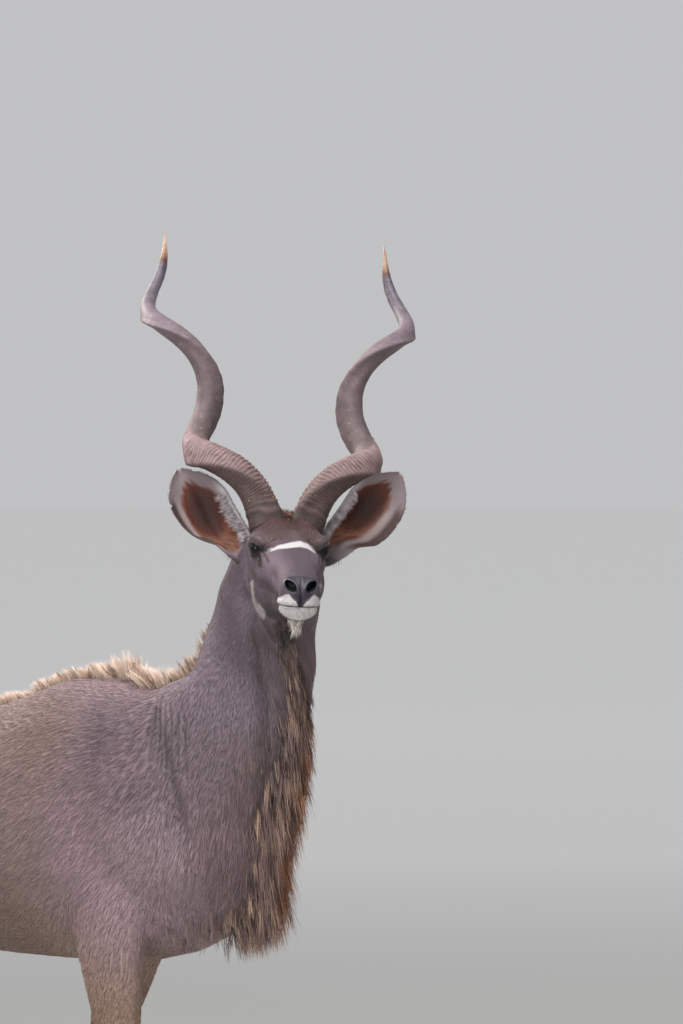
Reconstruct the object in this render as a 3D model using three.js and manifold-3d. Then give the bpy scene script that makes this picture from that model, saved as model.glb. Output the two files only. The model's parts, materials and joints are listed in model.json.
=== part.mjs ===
// A greater kudu bull, life size, standing still with its head turned to its right.
// Millimetres, +Z up. The bull faces -Y and its left side is +X. Its hooves stand on z = 0.
// The body is lofted from named stations, joined into one flesh, and parted by thin cuts.
import * as THREE from "three";
import { mergeVertices } from "three/addons/utils/BufferGeometryUtils.js";
import Module from "manifold-3d";

const wasm = await Module();
wasm.setup();

// Driving sizes of the bull.
const WITHERS_HEIGHT = 1440; // top of the shoulder, without the mane
const POLL_HEIGHT = 1802; // back of the skull, between the horns
const POLL_FORWARD = 470; // ahead of the withers
const POLL_LEFT = -24;
const HEAD_TURN = 45.6; // degrees to the bull's right
const HEAD_PITCH = 12; // degrees below level
const HEAD_ROLL = 2.5; // degrees, left side down
const EYE_RADIUS = 20;
const EYE_PLACE = [163, 69, -33]; // along the head, to the side, above the brow line
const HORN_AXIS_LENGTH = 842;
const HORN_BASE_RADIUS = 39;
const HOOF_HEIGHT = 62; // of its wall, in front
const HOOF_LINE = 50; // where the hoof's node ends and the leg's begins
const CUT = 0.4; // width of the cut between two parts
const ELBOW_CUT = 870; // height of the cut between trunk and foreleg
const THIGH_CUT = 905;
const CLEAR = 0.4; // gap left round a piece that another one is cut by

const COAT = { color: 0x857069, roughness: 0.85 };
const PALE_COAT = { color: 0xb09a8c, roughness: 0.85 };
const DARK_HAIR = { color: 0x5a4238, roughness: 0.8 };
const HORN = { color: 0x7d6763, roughness: 0.6 };
const HOOF = { color: 0x2b2624, roughness: 0.5 };
const EYE = { color: 0x120c0a, roughness: 0.1 };

const radians = THREE.MathUtils.degToRad;
const vector = (x, y, z) => new THREE.Vector3(x, y, z);
// A point that is `forward` of the withers, to the bull's left, and above the ground.
const place = (forward, left, height) => vector(left, -forward, height);
const blend = (a, b, t) => a + (b - a) * t;

// A value read off a smooth curve through evenly spread values, which never overshoots them.
function evenly(values, t) {
  const last = values.length - 1;
  const rise = (i) => values[i + 1] - values[i];
  const endSlope = (near, next) => {
    const slope = (3 * near - next) / 2;
    if (slope * near <= 0) return 0;
    return near * next < 0 && Math.abs(slope) > Math.abs(3 * near) ? 3 * near : slope;
  };
  const slopeAt = (i) => {
    if (i === 0) return endSlope(rise(0), rise(1));
    if (i === last) return endSlope(rise(last - 1), rise(last - 2));
    const [before, after] = [rise(i - 1), rise(i)];
    return before * after > 0 ? (2 * before * after) / (before + after) : 0;
  };
  const at = Math.min(Math.floor(t * last), last - 1);
  const s = t * last - at;
  const near = values[at] + (rise(at) * (3 - 2 * s) * s) * s;
  return near + s * (1 - s) * ((1 - s) * slopeAt(at) - s * slopeAt(at + 1));
}

// A closed section: `up` and `down` are its reach each way from its centre.
function section(centre, side, rise, half, up, down, power, sides) {
  const ring = [];
  for (let i = 0; i < sides; i++) {
    const angle = (i / sides) * 2 * Math.PI;
    const [c, s] = [Math.cos(angle), Math.sin(angle)];
    const across = half * Math.sign(c) * Math.abs(c) ** (2 / power);
    const reach = s > 0 ? up : down;
    const along = reach * Math.sign(s) * Math.abs(s) ** (2 / power);
    ring.push(centre.clone().addScaledVector(side, across).addScaledVector(rise, along));
  }
  return ring;
}

// The solid inside a closed geometry, whichever way its faces were wound.
function solidOf(geometry) {
  const bare = geometry.clone();
  bare.deleteAttribute("normal");
  bare.deleteAttribute("uv");
  const merged = mergeVertices(bare, 1e-4);
  const vertProperties = new Float32Array(merged.attributes.position.array);
  const triVerts = new Uint32Array(merged.index.array);
  const made = new wasm.Manifold(new wasm.Mesh({ numProp: 3, vertProperties, triVerts }));
  if (made.volume() > 0) return made;
  const turned = triVerts.map((v, i) => (i % 3 === 0 ? v : triVerts[i + (i % 3 === 1 ? 1 : -1)]));
  return new wasm.Manifold(new wasm.Mesh({ numProp: 3, vertProperties, triVerts: turned }));
}

// Rings of equally many points joined in order, with a fan over each end.
function loft(rings) {
  const sides = rings[0].length;
  const points = rings.flat();
  const faces = [];
  for (let i = 0; i < rings.length - 1; i++) {
    for (let j = 0; j < sides; j++) {
      const [a, b] = [i * sides + j, i * sides + ((j + 1) % sides)];
      faces.push(a, b, b + sides, a, b + sides, a + sides);
    }
  }
  const lastRing = (rings.length - 1) * sides;
  for (const [start, flip] of [[0, true], [lastRing, false]]) {
    const centre = vector(0, 0, 0);
    for (let j = 0; j < sides; j++) centre.addScaledVector(points[start + j], 1 / sides);
    points.push(centre);
    for (let j = 0; j < sides; j++) {
      const [a, b] = [start + j, start + ((j + 1) % sides)];
      faces.push(...(flip ? [b, a, points.length - 1] : [a, b, points.length - 1]));
    }
  }
  const geometry = new THREE.BufferGeometry().setFromPoints(points);
  return solidOf(geometry.setIndex(faces));
}

// Sections square to a path. Each row is forward, left, height, half depth, half width, turn.
function limb(rows, { sides, power = 2.1, grow = 0 }) {
  const centres = rows.map(([forward, left, height]) => place(forward, left, height));
  const rings = rows.map(([, , , depth, width, turn], i) => {
    const before = centres[Math.max(i - 1, 0)];
    const after = centres[Math.min(i + 1, centres.length - 1)];
    const run = after.clone().sub(before).normalize();
    const front = vector(-Math.sin(radians(turn)), -Math.cos(radians(turn)), 0);
    front.addScaledVector(run, -front.dot(run)).normalize();
    const side = run.clone().cross(front).normalize();
    const reach = depth + grow;
    return section(centres[i], side, front, width + grow, reach, reach, power, sides);
  });
  return loft(rings);
}

// An ellipsoid with its own three half sizes, turned by a matrix.
function ellipsoid(halves, matrix, segments = 12) {
  const ball = new THREE.SphereGeometry(1, segments, Math.round(segments * 0.6));
  return solidOf(ball.scale(...halves).applyMatrix4(matrix));
}

const join = (solids) => solids.reduce((a, b) => a.add(b));
const largest = (solid) => solid.decompose().sort((a, b) => b.volume() - a.volume())[0];

// The head's own frame: x runs from the poll to the nose, y to its left, z up from the brow line.
const headMatrix = (() => {
  const facing = vector(-Math.sin(radians(HEAD_TURN)), -Math.cos(radians(HEAD_TURN)), 0);
  const up = vector(0, 0, 1);
  const forward = facing.clone().multiplyScalar(Math.cos(radians(HEAD_PITCH)));
  forward.addScaledVector(up, -Math.sin(radians(HEAD_PITCH)));
  const left = up.clone().cross(facing).applyAxisAngle(forward, -radians(HEAD_ROLL));
  const crown = forward.clone().cross(left);
  const poll = place(POLL_FORWARD, POLL_LEFT, POLL_HEIGHT);
  return new THREE.Matrix4().makeBasis(forward, left, crown).setPosition(poll);
})();
const onHead = (along, left, up) => vector(along, left, up).applyMatrix4(headMatrix);
const headWay = (along, left, up) => vector(along, left, up).transformDirection(headMatrix);

// Sections square to the head. Each row is along the head, top, bottom, half width, widest height.
function headLoft(rows, { sides, power = 2.3 }) {
  const [side, rise] = [headWay(0, 1, 0), headWay(0, 0, 1)];
  const rings = rows.map(([along, top, bottom, half, widest]) => {
    const centre = onHead(along, 0, widest);
    return section(centre, side, rise, half, top - widest, widest - bottom, power, sides);
  });
  return loft(rings);
}

// A pair of ellipsoids, one on each side of the head.
function headBump(along, left, up, halves) {
  const spot = (y) => headMatrix.clone().multiply(new THREE.Matrix4().makeTranslation(along, y, up));
  return [left, -left].map((y) => ellipsoid(halves, spot(y), 8));
}

// Trunk: forward of the withers, top, bottom, half width, widest height.
function trunk() {
  const rows = [
    [418, 1170, 1010, 42, 1090],
    [390, 1225, 940, 98, 1085],
    [310, 1300, 880, 142, 1080],
    [210, 1372, 832, 168, 1085],
    [100, WITHERS_HEIGHT - 24, 806, 184, 1080],
    [0, WITHERS_HEIGHT, 800, 200, 1070],
    [-140, WITHERS_HEIGHT - 6, 804, 222, 1065],
    [-240, WITHERS_HEIGHT - 42, 808, 234, 1065],
    [-350, WITHERS_HEIGHT - 76, 814, 240, 1065],
    [-540, WITHERS_HEIGHT - 84, 840, 238, 1080],
    [-740, WITHERS_HEIGHT - 80, 888, 214, 1110],
    [-900, WITHERS_HEIGHT - 78, 935, 196, 1150],
    [-1030, WITHERS_HEIGHT - 98, 965, 182, 1160],
    [-1130, WITHERS_HEIGHT - 148, 1000, 142, 1150],
    [-1182, 1210, 1062, 62, 1140],
  ];
  const rings = rows.map(([forward, top, bottom, half, widest]) => {
    const [up, down] = [top - widest, widest - bottom];
    const centre = place(forward, 0, widest);
    return section(centre, vector(1, 0, 0), vector(0, 0, 1), half, up, down, 2.05, 19);
  });
  return loft(rings);
}

// The shoulder blade and its muscle, flat against the chest, and the point of the shoulder.
function shoulders() {
  const blade = [-1, 1].map((left) => {
    const tilt = new THREE.Matrix4().makeRotationX(radians(-17));
    const lean = new THREE.Matrix4().makeRotationY(radians(-left * 13));
    const spot = new THREE.Matrix4().setPosition(place(118, left * 100, 1185));
    return ellipsoid([88, 150, 246], spot.multiply(lean).multiply(tilt), 10);
  });
  const point = [-1, 1].map((left) => {
    const spot = new THREE.Matrix4().setPosition(place(246, left * 92, 1030));
    return ellipsoid([86, 106, 118], spot, 9);
  });
  return [...blade, ...point];
}

// Neck: forward, left, height, half depth, half width, turn of its front to the bull's right.
const NECK = [
  [170, 0, 1160, 262, 168, 0],
  [270, 0, 1272, 212, 148, 0],
  [352, -2, 1390, 170, 124, 5],
  [397, -9, 1510, 153, 115, 24],
  [430, -21, 1618, 128, 113, 38],
  [466, -33, 1700, 118, 101, 44],
  [492, -44, 1760, 100, 82, HEAD_TURN],
];
const neck = () => limb(NECK, { sides: 18, power: 2.15 });

// Upper head: along it, top, bottom, half width, widest height.
const SKULL = [
  [-22, -18, -104, 40, -62],
  [6, 6, -136, 68, -66],
  [52, 22, -152, 82, -60],
  [104, 26, -154, 86, -52],
  [152, 15, -148, 86, -42],
  [196, 2, -136, 76, -48],
  [250, -9, -122, 60, -58],
  [308, -17, -112, 49, -64],
  [362, -24, -106, 45, -68],
  [402, -33, -104, 46, -72],
  [424, -45, -101, 41, -76],
  [436, -60, -92, 24, -78],
];
const skull = () => headLoft(SKULL, { sides: 18 });

// Lower jaw, its rows as the skull's.
const JAW = [
  [34, -96, -176, 50, -132],
  [70, -92, -204, 66, -142],
  [118, -92, -206, 68, -146],
  [180, -92, -186, 56, -136],
  [250, -92, -164, 43, -128],
  [320, -94, -150, 37, -122],
  [372, -98, -144, 38, -120],
  [402, -100, -136, 34, -118],
  [416, -104, -122, 20, -114],
];
const jaw = () => headLoft(JAW, { sides: 12 });

// Brows over the eyes, the cheek muscles, the nostrils and the swell of the upper lip.
function headMuscles() {
  return [
    ...headBump(158, 66, -18, [38, 24, 20]),
    ...headBump(104, 58, -118, [58, 30, 62]),
    ...headBump(404, 26, -62, [26, 21, 20]),
    ...headBump(396, 22, -92, [32, 26, 17]),
  ];
}

// How far forward of the withers each leg's joints and its foot stand.
const FEET = {
  fore_right: { left: -1, elbow: 70, knee: 118, foot: 128 },
  fore_left: { left: 1, elbow: -78, knee: -196, foot: -222 },
  hind_right: { left: -1, hock: -1096, foot: -1066 },
  hind_left: { left: 1, hock: -1040, foot: -978 },
};
const LEG_OUT = 138; // from the middle of the body to the middle of a hoof
const LEG_SIDES = 10;

// Rows of a leg: forward, left, height, half depth, half width, turn.
function foreleg({ left, elbow, knee, foot }, grow = 0) {
  const above = (share) => blend(elbow, knee, share);
  const below = (share) => blend(knee, foot, share);
  const rows = [
    [above(-0.5), 96, 1110, 128, 62],
    [above(-0.25), 122, 1010, 120, 60],
    [above(-0.05), 136, 920, 106, 56],
    [above(0.1), 142, 838, 90, 51],
    [above(0.45), 143, 715, 68, 43],
    [above(0.8), 141, 575, 44, 33],
    [knee + 2, 139, 498, 39, 34],
    [knee + 3, 139, 462, 38, 34],
    [knee - 1, 138, 420, 29, 26],
    [below(0.35), LEG_OUT, 320, 25, 22],
    [below(0.8), LEG_OUT, 190, 25, 22],
    [foot - 4, LEG_OUT, 138, 32, 29],
    [foot + 2, LEG_OUT, 112, 31, 29],
    [foot + 20, LEG_OUT, 84, 26, 28],
    [foot + 38, LEG_OUT, 52, 30, 33],
    [foot + 44, LEG_OUT, 34, 26, 30],
  ];
  const turned = rows.map(([forward, out, ...rest]) => [forward, left * out, ...rest, 0]);
  return limb(turned, { sides: LEG_SIDES, grow });
}

function hindleg({ left, hock, foot }, grow = 0) {
  const above = (share) => blend(-900, hock, share);
  const below = (share) => blend(hock, foot, share);
  const rows = [
    [-990, 56, 1265, 96, 62],
    [-968, 88, 1190, 150, 80],
    [-942, 112, 1090, 178, 84],
    [-896, 134, 965, 154, 68],
    [-874, 140, 880, 118, 56],
    [above(0.02), 141, 800, 86, 48],
    [above(0.34), 141, 700, 58, 38],
    [above(0.74), 140, 600, 45, 29],
    [hock - 2, 139, 548, 53, 31],
    [hock, 139, 500, 46, 31],
    [hock + 10, LEG_OUT, 440, 32, 25],
    [below(0.45), LEG_OUT, 330, 27, 22],
    [below(0.85), LEG_OUT, 190, 27, 22],
    [foot, LEG_OUT, 140, 33, 28],
    [foot + 6, LEG_OUT, 114, 31, 28],
    [foot + 22, LEG_OUT, 84, 26, 27],
    [foot + 40, LEG_OUT, 52, 30, 32],
    [foot + 46, LEG_OUT, 34, 26, 29],
  ];
  const turned = rows.map(([forward, out, ...rest]) => [forward, left * out, ...rest, 0]);
  return limb(turned, { sides: LEG_SIDES, grow });
}

// One claw of a cloven hoof: a pointed toe with a flat sole, wider at the sole than at its top.
function claw(forward, left, outward) {
  const levels = [
    [0, 1.0, 0],
    [HOOF_HEIGHT * 0.6, 0.86, -9],
    [HOOF_HEIGHT, 0.68, -19],
  ];
  const outline = 10;
  const rings = levels.map(([height, size, lean]) => {
    const ring = [];
    for (let i = 0; i < outline; i++) {
      const angle = (i / outline) * 2 * Math.PI;
      const [c, s] = [Math.cos(angle), Math.sin(angle)];
      const toe = Math.max(c, 0);
      const width = 18.5 * (1 - 0.45 * toe ** 3);
      const along = forward + lean + 47 * size * c;
      ring.push(place(along, left + outward * (20.5 - 3 * toe ** 2) + width * size * s, height));
    }
    return ring;
  });
  return loft(rings);
}

// The pair of small false hooves behind a fetlock.
function dewclaws(forward, left) {
  return [-1, 1].map((outward) => {
    const spot = new THREE.Matrix4().setPosition(place(forward, left + outward * 17, 104));
    return ellipsoid([9, 14, 17], spot, 6);
  });
}

// Tail: it hangs from the croup, and its last part is a tuft.
const TAIL = [
  [-1096, 0, 1238, 26, 30, 0],
  [-1160, 0, 1236, 30, 31, 0],
  [-1200, 0, 1186, 27, 28, 0],
  [-1214, 0, 1100, 23, 26, 0],
  [-1220, 0, 1020, 25, 32, 0],
];
const TAIL_TUFT = [
  [-1222, 0, 1019, 25, 33, 0],
  [-1223, 0, 985, 27, 38, 0],
  [-1225, 0, 945, 26, 38, 0],
  [-1226, 0, 900, 21, 30, 0],
  [-1226, 0, 866, 12, 17, 0],
  [-1226, 0, 852, 4, 6, 0],
];

// A crest of hair: each row is its root line and its tip line, with the half thickness at the root.
function crest(rows) {
  const rings = rows.map(([rootForward, rootHeight, tipForward, tipHeight, left, half]) => {
    const root = place(rootForward, left, rootHeight);
    const tip = place(tipForward, left, tipHeight);
    const rise = tip.clone().sub(root);
    const height = rise.length();
    const middle = root.clone().addScaledVector(rise, 0.5);
    return section(middle, vector(1, 0, 0), rise.normalize(), half, height / 2, height / 2, 2, 8);
  });
  return loft(rings);
}

const WITHERS_MANE = [
  [222, 1340, 172, 1414, 0, 9],
  [180, 1360, 150, 1446, 0, 13],
  [110, 1384, 84, 1478, 0, 16],
  [10, 1400, -16, 1486, 0, 17],
  [-90, 1396, -116, 1470, 0, 16],
  [-200, 1372, -222, 1434, 0, 15],
  [-330, 1334, -348, 1386, 0, 13],
  [-560, 1322, -574, 1374, 0, 12],
  [-900, 1326, -914, 1380, 0, 11],
  [-1010, 1318, -1020, 1354, 0, 8],
];
const NAPE_MANE = [
  [300, 1440, 204, 1448, -3, 11],
  [320, 1500, 216, 1512, -8, 13],
  [352, 1570, 256, 1584, 26, 14],
  [386, 1640, 296, 1660, 44, 14],
  [410, 1710, 330, 1736, 52, 13],
  [440, 1760, 368, 1784, 50, 10],
];
const THROAT_FRINGE = [
  [470, 1590, 552, 1582, -84, 10],
  [462, 1530, 566, 1514, -66, 16],
  [446, 1455, 572, 1431, -36, 20],
  [418, 1376, 560, 1342, -14, 24],
  [390, 1290, 546, 1244, -2, 27],
  [370, 1195, 528, 1146, 0, 28],
  [340, 1100, 496, 1052, 0, 25],
  [305, 1015, 448, 970, 0, 18],
  [262, 950, 380, 912, 0, 10],
];
function chinBeard() {
  const rows = [
    [352, -132, -158, 12, -146],
    [366, -132, -190, 20, -158],
    [384, -132, -196, 20, -160],
    [398, -128, -168, 11, -148],
  ];
  return headLoft(rows, { sides: 10, power: 2 });
}

// The horn's centre line is a helix that opens outward. Each list is spread evenly along the horn.
const HORN_TILT = 36.5; // degrees up from the line that runs back along the head
const HORN_ROOT = [65, 55, 24];
const HORN_SPLAY = [14.3, 17.6, -12]; // degrees outward
const HORN_HELIX = [36, 45.7, 35.4, 6]; // distance of the centre line from its axis
const HORN_PHASE = [5.5, 374, 744]; // degrees round the axis, from the inner side forward
const HORN_THICKNESS = [1, 0.88, 0.79, 0.72, 0.64, 0.55, 0.43, 0.23, 0.03];
const KEEL_LEAD = 45; // degrees that the horn's keel leads the helix by
const HORN_RINGS = 31;

const HORN_ROOT_DEPTH = 32; // how far it is carried down, to meet the skull
const HORN_LEAN = 1.2; // degrees that the pair leans to the left, beyond the head's own roll

function horn(left) {
  const tilt = radians(HORN_TILT);
  const forwardUp = vector(Math.sin(tilt), 0, Math.cos(tilt));
  const backUp = vector(-Math.cos(tilt), 0, Math.sin(tilt));
  const sideways = vector(0, left, 0);
  const axis = vector(...HORN_ROOT).multiply(vector(1, left, 1));
  const centres = [];
  const frames = [];
  for (let i = 0; i <= HORN_RINGS; i++) {
    const t = i / HORN_RINGS;
    const splay = radians(evenly(HORN_SPLAY, t));
    const run = backUp.clone().multiplyScalar(Math.cos(splay)).addScaledVector(sideways, Math.sin(splay));
    const out = backUp.clone().multiplyScalar(-Math.sin(splay)).addScaledVector(sideways, Math.cos(splay));
    if (i > 0) axis.addScaledVector(run, HORN_AXIS_LENGTH / HORN_RINGS);
    const phase = radians(evenly(HORN_PHASE, t));
    const reach = evenly(HORN_HELIX, t);
    const offset = out.clone().multiplyScalar(-Math.cos(phase) * reach);
    offset.addScaledVector(forwardUp, Math.sin(phase) * reach);
    centres.push(axis.clone().add(offset));
    frames.push({ out, phase });
  }
  const start = centres[0].clone();
  centres[0].addScaledVector(centres[1].clone().sub(start).normalize(), -HORN_ROOT_DEPTH);
  const home = start.sub(vector(...HORN_ROOT).multiply(vector(1, left, 1)));
  const rings = centres.map((centre, i) => {
    const before = centres[Math.max(i - 1, 0)];
    const after = centres[Math.min(i + 1, HORN_RINGS)];
    const run = after.clone().sub(before).normalize();
    const { out, phase } = frames[i];
    const keelPhase = phase + radians(KEEL_LEAD);
    const keel = out.clone().multiplyScalar(-Math.cos(keelPhase));
    keel.addScaledVector(forwardUp, Math.sin(keelPhase));
    keel.addScaledVector(run, -keel.dot(run)).normalize();
    const side = run.clone().cross(keel);
    const radius = HORN_BASE_RADIUS * evenly(HORN_THICKNESS, i / HORN_RINGS);
    const ring = [];
    const sides = 10;
    for (let j = 0; j < sides; j++) {
      const angle = (j / sides) * 2 * Math.PI;
      const swell = 1 + 0.2 * Math.max(Math.cos(angle), 0) ** 4 - 0.07 * Math.cos(2 * angle + Math.PI);
      const point = centre.clone().sub(home);
      point.addScaledVector(keel, radius * swell * Math.cos(angle));
      point.addScaledVector(side, radius * swell * Math.sin(angle));
      ring.push(point.applyAxisAngle(vector(1, 0, 0), -radians(HORN_LEAN)).applyMatrix4(headMatrix));
    }
    return ring;
  });
  return loft(rings);
}

// The ear is a cupped leaf. Its inner and outer edges are measured outward from a line along it,
// at places spread evenly from its foot to its tip, and so is the depth of its cup.
const EAR_FOOT = [76, 78, -66];
const EAR_LENGTH = 260;
const EAR_WAY = { left: [-0.28, 0.53, 0.8], right: [-0.64, 0.42, 0.66] };
const EAR_SPIN = { left: 0, right: 18 }; // degrees that its opening is turned inward
const EAR_INNER = [6, -20, -28, -27, -26, -26, -19, 2, 40];
const EAR_OUTER = [36, 52, 64, 97, 108, 111, 106, 89, 56];
const EAR_CUP = [22, 38, 52, 55, 50, 42, 32, 20, 5];
const EAR_STATIONS = 9;
const EAR_ACROSS = 7;

function ear(name, left) {
  const mirror = vector(1, left, 1);
  const way = vector(...EAR_WAY[name]).normalize().multiply(mirror);
  const open = vector(1, 0, 0).addScaledVector(way, -way.x).normalize();
  open.applyAxisAngle(way, -left * radians(EAR_SPIN[name]));
  const outer = way.clone().cross(open).multiplyScalar(left).normalize();
  const rings = [];
  for (let i = 0; i <= EAR_STATIONS; i++) {
    const t = i / EAR_STATIONS;
    const [inner, out] = [evenly(EAR_INNER, t), evenly(EAR_OUTER, t)];
    const root = vector(...EAR_FOOT).multiply(mirror).addScaledVector(way, EAR_LENGTH * t);
    const front = [];
    const back = [];
    for (let j = 0; j < EAR_ACROSS; j++) {
      const s = blend(-1, 1, j / (EAR_ACROSS - 1));
      const reach = (inner + out) / 2 + (s * (out - inner)) / 2;
      const depth = evenly(EAR_CUP, t) * (Math.abs(s) ** 2.2 - 1);
      const point = root.clone().addScaledVector(outer, reach).addScaledVector(open, depth);
      const thick = blend(9, 3.5, s ** 2);
      front.push(point.clone().applyMatrix4(headMatrix));
      back.unshift(point.clone().addScaledVector(open, -thick).applyMatrix4(headMatrix));
    }
    rings.push([...front, ...back]);
  }
  return loft(rings);
}

const eyeMatrix = (left) => {
  const [along, side, up] = EYE_PLACE;
  return new THREE.Matrix4().setPosition(onHead(along, left * side, up));
};
const eye = (left, grow = 0) => {
  const radius = EYE_RADIUS + grow;
  return ellipsoid([radius, radius, radius], eyeMatrix(left), 10);
};

// A box with one face at a cut: what is beyond it along `way` is inside.
function beyond(point, way, grow = 0) {
  const size = 2400;
  const turn = new THREE.Quaternion().setFromUnitVectors(vector(0, 0, 1), way.clone().normalize());
  const middle = point.clone().addScaledVector(way.clone().normalize(), size / 2 - grow);
  const matrix = new THREE.Matrix4().compose(middle, turn, vector(1, 1, 1));
  return solidOf(new THREE.BoxGeometry(size, size, size).applyMatrix4(matrix));
}
// Takes what lies in a region out of the flesh, and leaves a thin cut behind.
function part(flesh, region) {
  const taken = largest(flesh.intersect(region(-CUT / 2)));
  const rest = largest(flesh.subtract(region(CUT / 2)));
  return [taken, rest];
}

const solids = {};
const legOf = (name, grow = 0) => (name.startsWith("fore") ? foreleg : hindleg)(FEET[name], grow);

// The claws of each foot, and the legs cut level above them.
function makeFeet() {
  const legs = [];
  for (const [name, { left, foot }] of Object.entries(FEET)) {
    const shin = legOf(name).intersect(beyond(place(0, 0, HOOF_LINE), vector(0, 0, 1)));
    legs.push(shin, ...dewclaws(foot - 30, left * LEG_OUT));
    const above = beyond(place(0, 0, HOOF_LINE - CLEAR), vector(0, 0, 1));
    for (const outward of [-1, 1]) {
      const side = outward === left ? "outer" : "inner";
      solids[`hoof_${name}_${side}`] = largest(claw(foot + 50, left * LEG_OUT, outward).subtract(above));
    }
  }
  return legs;
}

const body = [trunk(), ...shoulders(), neck(), limb(TAIL, { sides: 10 })];
let flesh = largest(join([...body, skull(), jaw(), ...headMuscles(), ...makeFeet()]));

for (const [name, left] of [["left", 1], ["right", -1]]) {
  solids[`eye_${name}`] = eye(left);
  flesh = flesh.subtract(eye(left, CLEAR));
  solids[`horn_${name}`] = horn(left);
}

// Cuts one solid by another, with a thin gap all round.
function cutGrown(solid, cutter) {
  let rest = solid.subtract(cutter);
  for (const gap of [-CLEAR, CLEAR]) {
    for (const way of [[gap, 0, 0], [0, gap, 0], [0, 0, gap]]) rest = rest.subtract(cutter.translate(way));
  }
  return largest(rest);
}
for (const side of ["left", "right"]) solids[`horn_${side}`] = cutGrown(solids[`horn_${side}`], flesh);

for (const [name, left] of [["left", 1], ["right", -1]]) {
  solids[`ear_${name}`] = cutGrown(cutGrown(ear(name, left), flesh), solids[`horn_${name}`]);
}
solids.withers_mane = cutGrown(crest(WITHERS_MANE), flesh);
solids.nape_mane = cutGrown(crest(NAPE_MANE), flesh);
solids.throat_fringe = cutGrown(crest(THROAT_FRINGE), flesh);
solids.chin_beard = cutGrown(chinBeard(), flesh);
solids.tail_tuft = cutGrown(limb(TAIL_TUFT, { sides: 10 }), flesh);

// The cuts: head from neck, jaw from head, neck from trunk, the legs and the tail.
const nape = { at: onHead(30, 0, -80), way: headWay(1, 0, 0.42) };
const throat = { at: onHead(100, 0, -212), way: headWay(0.25, 0, 1) };
const headRegion = (grow) => beyond(nape.at, nape.way, grow).intersect(beyond(throat.at, throat.way, grow));
let head;
[head, flesh] = part(flesh, headRegion);
const mouth = { at: onHead(405, 0, -101), way: headWay(0.06, 0, -1) };
[solids.lower_jaw, solids.head] = part(head, (grow) => beyond(mouth.at, mouth.way, grow));
const neckBase = { at: place(265, 0, 1290), way: place(0.62, 0, 0.78) };
[solids.neck, flesh] = part(flesh, (grow) => beyond(neckBase.at, neckBase.way, grow));
for (const name of Object.keys(FEET)) {
  const top = name.startsWith("fore") ? ELBOW_CUT : THIGH_CUT;
  const below = (grow) => beyond(place(0, 0, top), vector(0, 0, -1), grow);
  const [kind, side] = name.split("_");
  const { left, foot } = FEET[name];
  const hull = new THREE.BoxGeometry(140, 160, 170);
  const fetlock = solidOf(hull.translate(...place(foot, left * LEG_OUT, 85)));
  const region = (grow) => join([legOf(name, 1 + grow), fetlock]).intersect(below(grow));
  [solids[`${kind}leg_${side}`], flesh] = part(flesh, region);
}
const tailRoot = { at: place(-1176, 0, 1220), way: place(-1, 0, 0.3) };
[solids.tail, flesh] = part(flesh, (grow) => beyond(tailRoot.at, tailRoot.way, grow));
solids.trunk = flesh;

function finishOf(name) {
  if (name.startsWith("horn")) return HORN;
  if (name.startsWith("hoof")) return HOOF;
  if (name.startsWith("eye")) return EYE;
  if (name.startsWith("withers") || name.startsWith("nape")) return PALE_COAT;
  if (name.startsWith("throat") || name.startsWith("tail_")) return DARK_HAIR;
  return COAT;
}

const kudu = new THREE.Group();
for (const [name, solid] of Object.entries(solids)) {
  const { vertProperties, triVerts } = solid.getMesh();
  const geometry = new THREE.BufferGeometry();
  geometry.setAttribute("position", new THREE.BufferAttribute(new Float32Array(vertProperties), 3));
  geometry.setIndex(new THREE.BufferAttribute(triVerts, 1));
  const mesh = new THREE.Mesh(geometry, new THREE.MeshStandardMaterial(finishOf(name)));
  mesh.name = name;
  kudu.add(mesh);
}

// The origin is on the ground under the middle of the whole bull.
const bounds = new THREE.Box3().setFromObject(kudu);
const middle = bounds.getCenter(vector(0, 0, 0));
for (const mesh of kudu.children) mesh.geometry.translate(-middle.x, -middle.y, -bounds.min.z);

export default kudu;
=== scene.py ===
# %% [markdown]
# A greater kudu bull, life size, as a still museum model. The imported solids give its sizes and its
# pose. This script builds what the eye sees over them: one skin for all the flesh, then the eyes,
# the spiral horns, the hooves, and a coat of solid tufts and locks. The head comes first in care.

import json
import math

import bmesh
import bpy
import numpy as np
import openvdb
from mathutils import Matrix, Vector

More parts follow.
